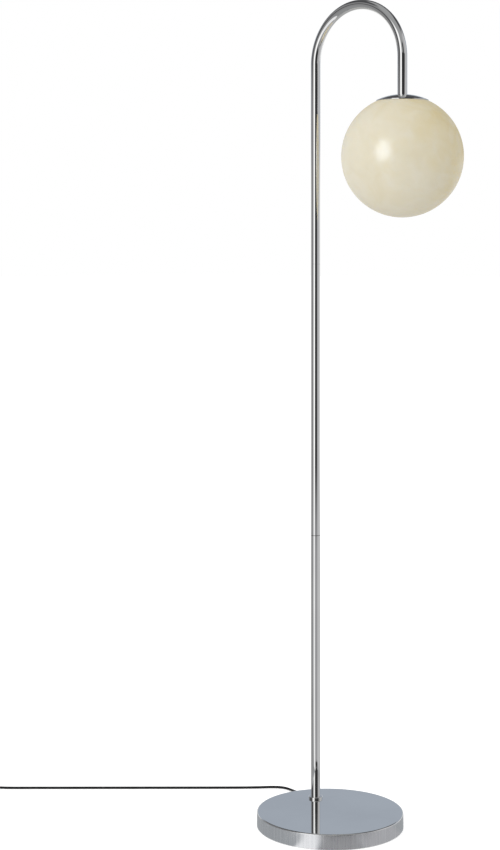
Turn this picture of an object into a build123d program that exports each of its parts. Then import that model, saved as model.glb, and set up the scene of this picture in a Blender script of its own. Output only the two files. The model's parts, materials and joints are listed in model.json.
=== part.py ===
from build123d import *
import os
from math import asin, cos, degrees, dist, pi, radians, sin, sqrt, tan

# Floor lamp: an arched chrome pole on a round weighted base, with an opal glass globe hanging from the arch.
# Millimetres. The origin is the middle of the base's underside on the floor, +Z is up, and +X is the way
# the arch reaches from the pole to the globe.

# Base
base_radius = 122.0
base_height = 25.5
cover_wall = 1.5
cover_edge = 2.2  # rounding of the cover's top edge
cover_lift = 1.0  # the skirt's lower edge stays this far above the floor
pad_thickness = 2.0
pad_inset = 2.5
weight_gap = 0.5
weight_rim = 22.0
weight_plate = 10.0
weight_chamfer = 2.0
clamp_plate = 5.0  # what is left of the weight's plate above the nut
pocket_diameter = 34.0
lead_slot_width = 15.0
exit_height = 7.0  # middle of the lead where it leaves the base

# Pole
pole_offset = 71.5  # from the middle of the base to the pole
pole_bearing = 150.8  # degrees from the arch's direction, the same way as the lead's exit
tube_diameter = 16.0
tube_wall = 1.2
seam_chamfer = 0.4
lower_length = 447.9
middle_length = 463.1
upper_length = 339.9  # straight part of the top section, below the arch
arch_radius = 94.0
stem_length = 62.3
collar_diameter = 24.0
collar_height = 3.6
collar_floor = 1.2
collar_edge = 0.8

# Threaded fittings inside the tubes
nipple_diameter = 9.9
nipple_bore = 7.5
nipple_grip = 12.0  # thread held in a bush
nipple_end = 1.0  # thread standing past a nut
bush_length = 15.0
bush_recess = 0.25  # from the tube's end
nut_flats = 14.0
nut_thickness = 4.0
washer_diameter = 22.0
washer_thickness = 1.5
thread_gap = 0.05
bush_gap = 0.05
hole_gap = 0.3
seat_gap = 0.1

# Head
globe_diameter = 200.0
glass_wall = 3.0
mouth_diameter = 78.0
mouth_round = 1.3  # how far the fire-polished edge bulges into the mouth
glass_gap = 0.3  # the glass is a loose part, so it stays this far from cap and spring
cap_diameter = 85.6
cap_wall = 1.0
cap_seat_margin = 1.0  # flat on the cap's crown, past the stem
spacer_thickness = 2.0
spacer_inset = 0.5
spring_strip = 0.6
spring_width = 11.0
spring_arms = 3
spring_plate_diameter = 32.0
spring_knee_reach = 7.0  # the knees stand this far past the mouth's edge
spring_knee_radius = 1.5
spring_return = 15.0
spring_return_slope = 58.0
holder_radius = 19.0
holder_height = 58.0
holder_wall = 1.6
holder_entry = 8.0
holder_neck_radius = 8.5
holder_neck_height = 5.0
holder_dome_height = 18.0
holder_overlap = 5.0
holder_lip = 2.0
holder_gap = 0.15
core_height = 15.0
sleeve_bore = 27.0
sleeve_wall = 0.6
contact_length = 16.0
contact_width = 6.0
contact_thickness = 1.0
bulb_gap = 0.4  # the bulb turns, so it stays this far from the lampholder
bulb_diameter = 60.0
bulb_glass_wall = 1.0
bulb_neck_diameter = 24.0
bulb_neck_insert = 6.0
bulb_shoulder = 42.0  # height of the flare between neck and ball
bulb_cap_height = 25.0
bulb_cap_wall = 0.8
bulb_cap_crown = 5.0
bulb_tip_diameter = 9.6
bulb_tip_height = 2.4

# Lead
cord_diameter = 4.2
floor_gap = 0.1
cord_gap = 0.15  # round the lead where it passes through a bushing or a shell
lead_bend = 8.5  # turn of the lead below the foot nipple
bushing_neck = 8.4
bushing_flange_diameter = 11.6
bushing_flange = 2.0
bushing_tail = 26.0
bushing_tail_root = 9.4
bushing_tail_end = 6.4
bushing_grooves = 4
bushing_groove_width = 1.6
bushing_groove_depth = 0.7
exit_straight = 17.0  # the lead leaves the bushing straight for this far
run_bearing = 223.2  # degrees from +X: the way the lead's long straight stretch runs

# Foot switch on the lead
switch_start = 612.0  # along the lead's stretch, from the base's middle
switch_offset = -200.2  # beside the base's middle
switch_length = 76.0
switch_width = 34.0
switch_split = 4.6  # height of the joint between base and cover, level with the lead
switch_height = 18.0
switch_wall = 2.0
switch_edge = 4.5
switch_foot_edge = 1.2
button_diameter = 22.0
button_rise = 4.5
button_edge = 1.5
button_flange = 1.6
button_flange_height = 3.0
button_gap = 0.4
button_socket = 12.0
button_crown = 2.6
block_length = 26.0
block_width = 16.0
block_height = 5.0
switch_spring_diameter = 9.0
switch_spring_wire = 0.8
switch_spring_turns = 4.5
switch_lead_in = 14.0
switch_lead_out = 6.0
screw_spacing = 48.0
screw_side = 8.5
screw_recess = 0.4
screw_head = 5.6
screw_shank = 2.9
screw_head_depth = 1.6
screw_length = 11.0
boss_diameter = 7.0

# Put-away coil, its tie and the plug
coil_start = 730.0
coil_inner = 16.6
coil_pitch = 4.7
coil_turns = 7.5
coil_lead_in = 16.0
coil_lift = 1.1  # the tie passes below the coil
tie_width = 5.0
tie_corner = 1.2
tie_thickness = 0.7
tie_gap = 0.3
tie_angle = 25.0
tail_length = 32.0
plug_front_width = 35.0
plug_front_height = 13.7
plug_rear_width = 14.0
plug_rear_height = 10.0
plug_front_length = 14.0
plug_length = 38.0
plug_relief_length = 14.0
plug_relief_root = 8.6
plug_relief_end = 6.4
pin_diameter = 4.0
pin_length = 19.0
pin_spacing = 18.6
pin_round = 1.2

# Heights and places that follow from the sizes above
tube_bore = tube_diameter - 2 * tube_wall
pole_x = pole_offset * cos(radians(pole_bearing))
pole_y = pole_offset * sin(radians(pole_bearing))
stem_x = pole_x + 2 * arch_radius
stem_y = pole_y
cover_ceiling = base_height - cover_wall
clamp_z = cover_ceiling - clamp_plate
foot_z = base_height + collar_floor
lower_seam_z = foot_z + lower_length
upper_seam_z = lower_seam_z + middle_length
arch_z = upper_seam_z + upper_length
seat_z = arch_z - stem_length

globe_radius = globe_diameter / 2
mouth_radius = mouth_diameter / 2
cap_radius = cap_diameter / 2
cap_sphere = globe_radius + glass_gap + cap_wall
cap_inner_sphere = globe_radius + glass_gap
cap_seat_radius = tube_diameter / 2 + cap_seat_margin
globe_z = seat_z - sqrt(cap_sphere**2 - cap_seat_radius**2)
cap_under_z = seat_z - cap_wall
spring_z = cap_under_z - spacer_thickness
nut_z = spring_z - spring_strip - nut_thickness
holder_z = nut_z
core_z = holder_z - holder_dome_height
sleeve_z = core_z - core_height
bulb_z = sleeve_z - contact_thickness - bulb_gap
bulb_cap_z = bulb_z - bulb_tip_height
bulb_neck_z = bulb_cap_z - bulb_cap_height
bulb_ball_z = bulb_neck_z - bulb_shoulder
cord_radius = cord_diameter / 2
floor_z = cord_radius + floor_gap
exit_reach = base_radius + bushing_tail

stem_axis = Axis((stem_x, stem_y, 0), (0, 0, 1))
exit_direction = Vector(cos(radians(pole_bearing)), sin(radians(pole_bearing)), 0)
exit_axis = Axis(Vector(0, 0, exit_height), exit_direction)
floor_run = Plane((0, 0, 0), x_dir=(cos(radians(run_bearing)), sin(radians(run_bearing)), 0))


def on_pole(height):
    """Level plane across the pole's axis."""
    return Plane((pole_x, pole_y, height))


def on_stem(height):
    """Level plane across the axis of stem, lampholder and globe."""
    return Plane((stem_x, stem_y, height))


def upright(x, y, turn=0):
    """Vertical plane through a standing axis, turned about it: local x is the radius, local y the height."""
    way = Vector(cos(radians(turn)), sin(radians(turn)), 0)
    return Plane((x, y, 0), x_dir=way, z_dir=way.cross(Vector(0, 0, 1)))


def save(piece, name):
    """Label a finished piece and write it under the same name."""
    piece.part.label = name
    export_step(piece.part, f"parts/{name}.step")


def bearing_on_sphere(sphere_radius, radius):
    """Height above a sphere's middle of the circle of the given radius on it."""
    return sqrt(sphere_radius**2 - radius**2)


def soft_radii(points):
    """Bend radius at each inner point of a cord's route: 0.45 of the shorter run over tan(half turn)."""
    radii = []
    for before, here, after in zip(points, points[1:], points[2:]):
        first = Vector(here) - Vector(before)
        second = Vector(after) - Vector(here)
        half_turn = radians(first.get_angle(second)) / 2
        radii.append(0.45 * min(first.length, second.length) / tan(half_turn))
    return radii


def cord_tube(points, name):
    """Round cord along straight runs and tangent arcs."""
    radii = soft_radii(points)
    with BuildPart() as tube:
        with BuildLine() as route:
            FilletPolyline(*points, radius=radii)
        middle = route.wire()
        with BuildSketch(Plane(origin=middle @ 0, z_dir=middle % 0)):
            Circle(cord_radius)
        sweep(path=middle)
    expected = pi * cord_radius**2 * middle.length
    print(f"{name}: {middle.length:.0f} mm long, least radius {min(radii):.0f} mm,"
          f" volume {tube.part.volume / expected:.4f} of section times length")
    save(tube, name)


def biarc(start, start_way, end, end_way):
    """Two tangent arcs from start to end that leave and arrive along the given unit directions."""
    chord = end - start
    ways = start_way + end_way
    spare = 2 * (1 - start_way.dot(end_way))
    along = chord.dot(ways)
    reach = (sqrt(along**2 + spare * chord.dot(chord)) - along) / spare
    middle = (start + end + (start_way - end_way) * reach) * 0.5
    first = TangentArc(start, middle, tangent=start_way)
    TangentArc(middle, end, tangent=first % 1)


def wound_points(place, turns):
    """Points and directions at each quarter turn of a winding given as a function of its turns."""
    quarters = [place(step / 4) for step in range(round(4 * turns) + 1)]
    small = 0.01
    ways = []
    for step in range(len(quarters)):
        before = place(max(step / 4 - small, 0))
        after = place(min(step / 4 + small, turns))
        ways.append((after - before).normalized())
    return quarters, ways


def least_gap(line, wire_diameter, turn_length):
    """Smallest clear distance between turns, measured on points along the wire's middle line."""
    count = round(line.length)
    points = [tuple(line @ (step / count)) for step in range(count + 1)]
    apart = round(turn_length / 2)
    return min(
        dist(points[one], points[two])
        for one in range(0, count + 1, 2)
        for two in range(one + apart, count + 1)
    ) - wire_diameter


os.makedirs("parts", exist_ok=True)

# Base: pressed cover, cast weight with its nut pocket and lead slot, felt pad
with BuildPart() as base_cover:
    with BuildSketch(Plane.XY.offset(cover_lift)):
        Circle(base_radius)
    extrude(amount=base_height - cover_lift)
    fillet(base_cover.faces().sort_by(Axis.Z)[-1].edges(), cover_edge)
    with BuildSketch(Plane.XY.offset(cover_lift)):
        Circle(base_radius - cover_wall)
    extrude(amount=cover_ceiling - cover_lift, mode=Mode.SUBTRACT)
    ceiling_rim = base_cover.faces().filter_by(Axis.Z).sort_by(Axis.Z)[-2].edges()
    fillet(ceiling_rim, max(cover_edge - cover_wall, cover_wall / 5))
    with BuildSketch(on_pole(cover_ceiling)):
        Circle(nipple_diameter / 2 + hole_gap)
    extrude(amount=cover_wall, mode=Mode.SUBTRACT)
    with BuildSketch(Plane(exit_axis.position, z_dir=exit_direction)):
        Circle(bushing_neck / 2 + seat_gap)
    extrude(amount=base_radius, mode=Mode.SUBTRACT)
save(base_cover, "base_cover")

weight_radius = base_radius - cover_wall - weight_gap
with BuildPart() as base_weight:
    with BuildSketch(Plane.XY.offset(pad_thickness)):
        Circle(weight_radius)
    extrude(amount=cover_ceiling - pad_thickness)
    chamfer(base_weight.faces().sort_by(Axis.Z)[-1].edges(), weight_chamfer)
    with BuildSketch(Plane.XY.offset(pad_thickness)):
        Circle(weight_radius - weight_rim)
    extrude(amount=cover_ceiling - weight_plate - pad_thickness, mode=Mode.SUBTRACT)
    with BuildSketch(on_pole(clamp_z)):
        Circle(pocket_diameter / 2)
    extrude(amount=-weight_plate, mode=Mode.SUBTRACT)
    with BuildSketch(on_pole(clamp_z)):
        Circle(nipple_diameter / 2 + hole_gap)
    extrude(amount=clamp_plate, mode=Mode.SUBTRACT)
    slot_top = exit_height + lead_slot_width / 2
    with BuildSketch(Plane((0, 0, pad_thickness), x_dir=exit_direction)):
        with Locations((weight_radius, 0)):
            Rectangle(2 * (weight_radius - pole_offset), lead_slot_width)
    extrude(amount=slot_top - pad_thickness, mode=Mode.SUBTRACT)
save(base_weight, "base_weight")

with BuildPart() as base_pad:
    with BuildSketch():
        Circle(base_radius - cover_wall - pad_inset)
    extrude(amount=pad_thickness)
save(base_pad, "base_pad")

# Foot of the pole: collar, hollow nipple, washer and nut
with BuildPart() as foot_collar:
    with BuildSketch(on_pole(base_height)):
        Circle(collar_diameter / 2)
    extrude(amount=collar_height)
    fillet(foot_collar.faces().sort_by(Axis.Z)[-1].edges(), collar_edge)
    with BuildSketch(on_pole(foot_z)):
        Circle(tube_diameter / 2 + seat_gap)
    extrude(amount=collar_height, mode=Mode.SUBTRACT)
    with BuildSketch(on_pole(base_height)):
        Circle(nipple_diameter / 2 + hole_gap)
    extrude(amount=collar_floor, mode=Mode.SUBTRACT)
save(foot_collar, "foot_collar")

foot_nut_z = clamp_z - washer_thickness - nut_thickness
foot_nipple_z = foot_nut_z - nipple_end
with BuildPart() as foot_nipple:
    with BuildSketch(on_pole(foot_nipple_z)):
        Circle(nipple_diameter / 2)
        Circle(nipple_bore / 2, mode=Mode.SUBTRACT)
    extrude(amount=foot_z + nipple_grip - foot_nipple_z)
save(foot_nipple, "foot_nipple")

with BuildPart() as foot_washer:
    with BuildSketch(on_pole(clamp_z)):
        Circle(washer_diameter / 2)
        Circle(nipple_diameter / 2 + hole_gap, mode=Mode.SUBTRACT)
    extrude(amount=-washer_thickness)
save(foot_washer, "foot_washer")


def hex_nut(plane, name):
    """Thin hexagon nut standing on the plane, its corners turned down."""
    with BuildPart() as nut:
        with BuildSketch(plane):
            RegularPolygon(nut_flats / 2, 6, major_radius=False)
        extrude(amount=nut_thickness)
        with BuildSketch(upright(plane.origin.X, plane.origin.Y)):
            with Locations((0, plane.origin.Z)):
                Rectangle(nut_flats / sqrt(3), nut_thickness, align=(Align.MIN, Align.MIN))
            chamfer(vertices().group_by(Axis.X)[-1], nut_thickness / 5)
        revolve(axis=Axis(plane.origin, (0, 0, 1)), mode=Mode.INTERSECT)
        with BuildSketch(plane):
            Circle(nipple_diameter / 2 + thread_gap)
        extrude(amount=nut_thickness, mode=Mode.SUBTRACT)
    save(nut, name)


hex_nut(on_pole(foot_nut_z), "foot_nut")


# Pole: two straight sections and the arched top section, screwed together by bushes and nipples
def straight_tube(bottom, length, chamfered, name):
    """Straight pole section; the ends that meet another section have a fine chamfer."""
    with BuildPart() as tube:
        with BuildSketch(on_pole(bottom)):
            Circle(tube_diameter / 2)
            Circle(tube_bore / 2, mode=Mode.SUBTRACT)
        extrude(amount=length)
        ends = tube.edges().filter_by(GeomType.CIRCLE).group_by(SortBy.RADIUS)[-1].sort_by(Axis.Z)
        chamfer([ends[index] for index in chamfered], seam_chamfer)
    save(tube, name)


straight_tube(foot_z, lower_length, [-1], "lower_pole")
straight_tube(lower_seam_z, middle_length, [0, -1], "middle_pole")

with BuildPart() as upper_pole:
    with BuildLine() as arch:
        rise = Line((pole_x, pole_y, upper_seam_z), (pole_x, pole_y, arch_z))
        bow = TangentArc((pole_x, pole_y, arch_z), (stem_x, stem_y, arch_z), tangent=(0, 0, 1))
        Line(bow @ 1, (stem_x, stem_y, seat_z))
    with BuildSketch(on_pole(upper_seam_z)):
        Circle(tube_diameter / 2)
        Circle(tube_bore / 2, mode=Mode.SUBTRACT)
    sweep(path=arch.line)
    rims = upper_pole.edges().filter_by(GeomType.CIRCLE).group_by(Axis.Z)[0]
    chamfer(rims.sort_by(SortBy.RADIUS)[-1], seam_chamfer)
save(upper_pole, "upper_pole")

bush_places = [
    on_pole(foot_z + bush_recess),
    on_pole(lower_seam_z - bush_recess - bush_length),
    on_pole(lower_seam_z + bush_recess),
    on_pole(upper_seam_z - bush_recess - bush_length),
    on_pole(upper_seam_z + bush_recess),
    on_stem(seat_z + bush_recess),
]
with BuildPart() as pole_bushes:
    with BuildSketch(*bush_places):
        Circle(tube_bore / 2 - bush_gap)
        Circle(nipple_diameter / 2 + thread_gap, mode=Mode.SUBTRACT)
    extrude(amount=bush_length)
save(pole_bushes, "pole_bushes")

with BuildPart() as joint_nipples:
    with BuildSketch(on_pole(lower_seam_z), on_pole(upper_seam_z)):
        Circle(nipple_diameter / 2)
        Circle(nipple_bore / 2, mode=Mode.SUBTRACT)
    extrude(amount=nipple_grip, both=True)
save(joint_nipples, "joint_nipples")

# Head: cap, spacer, three-arm glass spring, nipple and nut under the stem
with BuildPart() as shade_cap:
    with BuildSketch(upright(stem_x, stem_y)):
        with Locations((0, globe_z)):
            Circle(cap_sphere)
        with Locations((0, globe_z)):
            Circle(cap_inner_sphere, mode=Mode.SUBTRACT)
        with Locations((0, cap_under_z)):
            Rectangle(2 * cap_seat_radius, cap_wall, align=(Align.CENTER, Align.MIN))
        with Locations((0, globe_z)):
            Rectangle(cap_radius, seat_z - globe_z, align=(Align.MIN, Align.MIN), mode=Mode.INTERSECT)
        with Locations((0, cap_under_z)):
            Rectangle(nipple_diameter / 2 + hole_gap, cap_wall, align=(Align.MIN, Align.MIN),
                      mode=Mode.SUBTRACT)
    revolve(axis=stem_axis)
save(shade_cap, "shade_cap")

spacer_radius = cap_seat_radius - spacer_inset
with BuildPart() as cap_spacer:
    with BuildSketch(on_stem(spring_z)):
        Circle(spacer_radius)
        Circle(nipple_diameter / 2 + hole_gap, mode=Mode.SUBTRACT)
    extrude(amount=spacer_thickness)
save(cap_spacer, "cap_spacer")

glass_inner = globe_radius - glass_wall
knee_radius = mouth_radius + spring_knee_reach
strip_middle = spring_z - spring_strip / 2
knee_sphere = glass_inner - glass_gap - spring_strip / 2 + spring_knee_radius / 2  # corner before rounding
knee_height = globe_z + bearing_on_sphere(knee_sphere, knee_radius)
mouth_pass = mouth_radius - mouth_round - glass_gap - spring_strip
with BuildPart() as glass_spring:
    with BuildSketch(on_stem(spring_z - spring_strip)):
        Circle(spring_plate_diameter / 2)
        Circle(nipple_diameter / 2 + hole_gap, mode=Mode.SUBTRACT)
    extrude(amount=spring_strip)
    arm_planes = [upright(stem_x, stem_y, 360 / spring_arms * arm) for arm in range(spring_arms)]
    with BuildSketch(*arm_planes):
        with BuildLine():
            root = (spring_plate_diameter / 2 - spring_strip, strip_middle)
            waist = (mouth_pass, knee_height + spring_strip)
            knee = (knee_radius, knee_height)
            heel = (
                knee_radius - spring_return * cos(radians(spring_return_slope)),
                knee_height - spring_return * sin(radians(spring_return_slope)),
            )
            FilletPolyline(root, waist, knee, heel, radius=spring_knee_radius)
        trace(line_width=spring_strip)
    extrude(amount=spring_width / 2, both=True)
save(glass_spring, "glass_spring")

with BuildPart() as stem_nipple:
    with BuildSketch(on_stem(holder_z - holder_entry)):
        Circle(nipple_diameter / 2)
        Circle(nipple_bore / 2, mode=Mode.SUBTRACT)
    extrude(amount=seat_z + nipple_grip - holder_z + holder_entry)
save(stem_nipple, "stem_nipple")

hex_nut(on_stem(nut_z), "cap_nut")

# Lampholder: threaded dome, shell with its lip, insulating core, screw sleeve and centre contact
holder_end_z = holder_z - holder_height
shell_bore = holder_radius - holder_wall
skirt_radius = shell_bore - holder_gap
sleeve_radius = sleeve_bore / 2
with BuildPart() as holder_dome:
    with BuildSketch(upright(stem_x, stem_y)):
        with BuildLine():
            Polyline(
                (nipple_diameter / 2 + thread_gap, holder_z),
                (holder_neck_radius, holder_z),
                (holder_neck_radius, holder_z - holder_neck_height),
                (skirt_radius, core_z + holder_overlap),
                (skirt_radius, core_z),
                (skirt_radius - holder_wall, core_z),
                (skirt_radius - holder_wall, core_z + holder_overlap - holder_wall),
                (nipple_diameter / 2 + thread_gap, holder_z - holder_entry),
                close=True,
            )
        make_face()
    revolve(axis=stem_axis)
save(holder_dome, "holder_dome")

with BuildPart() as holder_shell:
    with BuildSketch(upright(stem_x, stem_y)):
        with BuildLine():
            Polyline(
                (shell_bore, core_z + holder_overlap),
                (holder_radius, core_z + holder_overlap),
                (holder_radius, holder_end_z),
                (sleeve_radius, holder_end_z),
                (sleeve_radius, holder_end_z + holder_lip),
                (shell_bore, holder_end_z + holder_lip),
                close=True,
            )
        make_face()
    revolve(axis=stem_axis)
    fillet(holder_shell.faces().sort_by(Axis.Z)[0].outer_wire().edges(), holder_wall / 2)
save(holder_shell, "holder_shell")

with BuildPart() as holder_core:
    with BuildSketch(on_stem(sleeve_z)):
        Circle(shell_bore - holder_gap)
    extrude(amount=core_height)
save(holder_core, "holder_core")

with BuildPart() as screw_sleeve:
    with BuildSketch(on_stem(holder_end_z + holder_lip)):
        Circle(sleeve_radius + sleeve_wall)
        Circle(sleeve_radius, mode=Mode.SUBTRACT)
    extrude(amount=sleeve_z - holder_end_z - holder_lip)
save(screw_sleeve, "screw_sleeve")

with BuildPart() as centre_contact:
    with BuildSketch(on_stem(sleeve_z)):
        RectangleRounded(contact_length, contact_width, contact_width / 3)
    extrude(amount=-contact_thickness)
save(centre_contact, "centre_contact")

# Bulb: tip, screw cap and glass
bulb_cap_radius = sleeve_radius - bulb_gap
bulb_radius = bulb_diameter / 2
bulb_neck_radius = bulb_neck_diameter / 2
with BuildPart() as bulb_tip:
    with BuildSketch(on_stem(bulb_cap_z)):
        Circle(bulb_tip_diameter / 2)
    extrude(amount=bulb_tip_height)
    fillet(bulb_tip.faces().sort_by(Axis.Z)[-1].edges(), bulb_tip_height / 2)
save(bulb_tip, "bulb_tip")

with BuildPart() as bulb_cap:
    with BuildSketch(upright(stem_x, stem_y)):
        with BuildLine():
            Polyline(
                (0, bulb_cap_z),
                (bulb_tip_diameter / 2, bulb_cap_z),
                (bulb_cap_radius, bulb_cap_z - bulb_cap_crown),
                (bulb_cap_radius, bulb_neck_z),
                (bulb_cap_radius - bulb_cap_wall, bulb_neck_z),
                (bulb_cap_radius - bulb_cap_wall, bulb_cap_z - bulb_cap_crown - bulb_cap_wall),
                (bulb_tip_diameter / 2, bulb_cap_z - 2 * bulb_cap_wall),
                (0, bulb_cap_z - 2 * bulb_cap_wall),
                close=True,
            )
        make_face()
    revolve(axis=stem_axis)
save(bulb_cap, "bulb_cap")

with BuildPart() as bulb_glass:
    with BuildSketch(upright(stem_x, stem_y)):
        for inset, mode in ((0, Mode.ADD), (bulb_glass_wall, Mode.SUBTRACT)):
            neck = bulb_neck_radius - inset
            ball = bulb_radius - inset
            with BuildLine():
                collar = Line((0, bulb_neck_z + bulb_neck_insert), (neck, bulb_neck_z + bulb_neck_insert))
                stub = Line(collar @ 1, (neck, bulb_neck_z))
                flare = Spline(stub @ 1, (ball, bulb_ball_z), tangents=[(0, -1), (0, -1)])
                crown = CenterArc((0, bulb_ball_z), ball, -90, 90)
                Line(crown @ 0, collar @ 0)
            make_face(mode=mode)
    revolve(axis=stem_axis)
save(bulb_glass, "bulb_glass")

# Opal globe: an even wall, with its fire-polished mouth under the cap
with BuildPart() as glass_globe:
    with BuildSketch(upright(stem_x, stem_y)):
        edge_radius = mouth_radius + mouth_round
        edge_top = globe_z + bearing_on_sphere(globe_radius, edge_radius)
        edge_low = globe_z + bearing_on_sphere(glass_inner, edge_radius)
        top_angle = 90 - degrees(asin(edge_radius / globe_radius))
        low_angle = 90 - degrees(asin(edge_radius / glass_inner))
        with BuildLine():
            CenterArc((0, globe_z), globe_radius, -90, 90 + top_angle)
            ThreePointArc(
                (edge_radius, edge_top),
                (mouth_radius, (edge_top + edge_low) / 2),
                (edge_radius, edge_low),
            )
            CenterArc((0, globe_z), glass_inner, -90, 90 + low_angle)
            Line((0, globe_z - glass_inner), (0, globe_z - globe_radius))
        make_face()
    revolve(axis=stem_axis)
save(glass_globe, "glass_globe")

# Lead inside the lamp: from the lampholder over the arch, down the pole and out at the back of the base
bend_start = Vector(pole_x, pole_y, exit_height + lead_bend)
bend_end = Vector(pole_x, pole_y, exit_height) + exit_direction * lead_bend
exit_point = exit_direction * exit_reach + Vector(0, 0, exit_height)
with BuildPart() as inner_lead:
    with BuildLine() as lead_path:
        Line((stem_x, stem_y, core_z), (stem_x, stem_y, arch_z))
        TangentArc((stem_x, stem_y, arch_z), (pole_x, pole_y, arch_z), tangent=(0, 0, 1))
        Line((pole_x, pole_y, arch_z), bend_start)
        TangentArc(bend_start, bend_end, tangent=(0, 0, -1))
        Line(bend_end, exit_point)
    with BuildSketch(on_stem(core_z)):
        Circle(cord_radius)
    sweep(path=lead_path.wire())
lead_length = lead_path.wire().length
print(f"inner_lead: {lead_length:.0f} mm long,"
      f" volume {inner_lead.part.volume / (pi * cord_radius**2 * lead_length):.4f} of section times length")
save(inner_lead, "inner_lead")

# Bushing with a ribbed, tapered tail where the lead leaves the skirt
with BuildPart() as cord_bushing:
    inner_face = base_radius - cover_wall - hole_gap
    tail_start = base_radius + bushing_flange
    tail_end = base_radius + bushing_tail
    bore_radius = cord_radius + cord_gap
    flange_radius = bushing_flange_diameter / 2
    exit_side = Plane((0, 0, exit_height), x_dir=exit_direction,
                      z_dir=exit_direction.cross(Vector(0, 0, 1)))
    with BuildSketch(exit_side):
        with BuildLine():
            Polyline(
                (inner_face - bushing_flange, bore_radius),
                (inner_face - bushing_flange, flange_radius),
                (inner_face, flange_radius),
                (inner_face, bushing_neck / 2),
                (base_radius, bushing_neck / 2),
                (base_radius, flange_radius),
                (tail_start, flange_radius),
                (tail_start, bushing_tail_root / 2),
                (tail_end, bushing_tail_end / 2),
                (tail_end, bore_radius),
                close=True,
            )
        make_face()
        groove_pitch = (tail_end - tail_start) / (bushing_grooves + 1)
        taper = (bushing_tail_root - bushing_tail_end) / 2 / (tail_end - tail_start)
        for groove in range(bushing_grooves):
            along = groove_pitch * (groove + 1)
            floor_radius = bushing_tail_root / 2 - taper * along - bushing_groove_depth
            with Locations((tail_start + along, floor_radius)):
                Rectangle(bushing_groove_width, flange_radius, align=(Align.CENTER, Align.MIN),
                          mode=Mode.SUBTRACT)
    revolve(axis=exit_axis)
save(cord_bushing, "cord_bushing")


def on_floor(along, beside, height):
    """Point given along and beside the lead's straight stretch, and its height above the floor."""
    return floor_run.from_local_coords(Vector(along, beside, height))


# Lead on the floor: out of the bushing, down, round a quarter turn and straight off to the foot switch
switch_middle = switch_start + switch_length / 2
switch_end = switch_start + switch_length
cord_tube(
    [
        exit_point,
        exit_point + exit_direction * exit_straight,
        on_floor(54.4, -171.5, 5.0),
        on_floor(60.4, -187.0, 2.7),
        on_floor(71.3, -201.5, floor_z),
        on_floor(89.8, -206.2, floor_z),
        on_floor(117.7, -203.0, floor_z),
        on_floor(165.5, -201.3, floor_z),
        on_floor(518.5, -200.6, floor_z),
        on_floor(577.0, switch_offset, floor_z),
        on_floor(switch_start - switch_lead_in, switch_offset, switch_split),
        on_floor(switch_middle - block_length / 2, switch_offset, switch_split),
    ],
    "cord_run",
)


# Foot switch: base, cover, sprung button, contact block and screws
def on_switch(height):
    """Level plane in the middle of the foot switch, local x along the lead."""
    return Plane(on_floor(switch_middle, switch_offset, height), x_dir=floor_run.x_dir)


across_lead = Plane(
    on_floor(switch_start, switch_offset, switch_split), x_dir=(0, 0, 1), z_dir=floor_run.x_dir
)
boss_places = [(screw_spacing / 2, screw_side), (-screw_spacing / 2, -screw_side)]
boss_top = switch_height - switch_wall

with BuildPart() as switch_base:
    with BuildSketch(on_switch(0)):
        SlotOverall(switch_length, switch_width)
    extrude(amount=switch_split)
    fillet(switch_base.faces().sort_by(Axis.Z)[0].edges(), switch_foot_edge)
    with BuildSketch(on_switch(switch_wall)):
        SlotOverall(switch_length - 2 * switch_wall, switch_width - 2 * switch_wall)
    extrude(amount=switch_split - switch_wall, mode=Mode.SUBTRACT)
    with BuildSketch(on_switch(switch_wall)):
        with Locations(*boss_places):
            Circle(boss_diameter / 2)
    extrude(amount=switch_split - switch_wall)
    with BuildSketch(on_switch(0)):
        with Locations(*boss_places):
            Circle(screw_shank / 2 + seat_gap)
    extrude(amount=switch_split, mode=Mode.SUBTRACT)
    with BuildSketch(on_switch(0)):
        with Locations(*boss_places):
            Circle(screw_head / 2 + seat_gap)
    extrude(amount=screw_head_depth + screw_recess, mode=Mode.SUBTRACT)
    with BuildSketch(across_lead):
        Circle(cord_radius + cord_gap)
    extrude(amount=switch_length, mode=Mode.SUBTRACT)
save(switch_base, "switch_base")

with BuildPart() as switch_cover:
    with BuildSketch(on_switch(switch_split)):
        SlotOverall(switch_length, switch_width)
    extrude(amount=switch_height - switch_split)
    fillet(switch_cover.faces().sort_by(Axis.Z)[-1].edges(), switch_edge)
    with BuildSketch(on_switch(switch_split)):
        SlotOverall(switch_length - 2 * switch_wall, switch_width - 2 * switch_wall)
    extrude(amount=boss_top - switch_split, mode=Mode.SUBTRACT)
    roof_rim = switch_cover.faces().filter_by(Axis.Z).sort_by(Axis.Z)[-2].edges()
    fillet(roof_rim, max(switch_edge - switch_wall, switch_wall / 5))
    with BuildSketch(on_switch(switch_split)):
        with Locations(*boss_places):
            Circle(boss_diameter / 2)
    extrude(amount=boss_top - switch_split)
    with BuildSketch(on_switch(switch_split)):
        with Locations(*boss_places):
            Circle(screw_shank / 2 + seat_gap)
    extrude(amount=screw_length - switch_split + screw_head_depth, mode=Mode.SUBTRACT)
    with BuildSketch(on_switch(boss_top)):
        Circle(button_diameter / 2 + button_gap)
    extrude(amount=switch_wall, mode=Mode.SUBTRACT)
    with BuildSketch(across_lead):
        Circle(cord_radius + cord_gap)
    extrude(amount=switch_length, mode=Mode.SUBTRACT)
save(switch_cover, "switch_cover")

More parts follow.
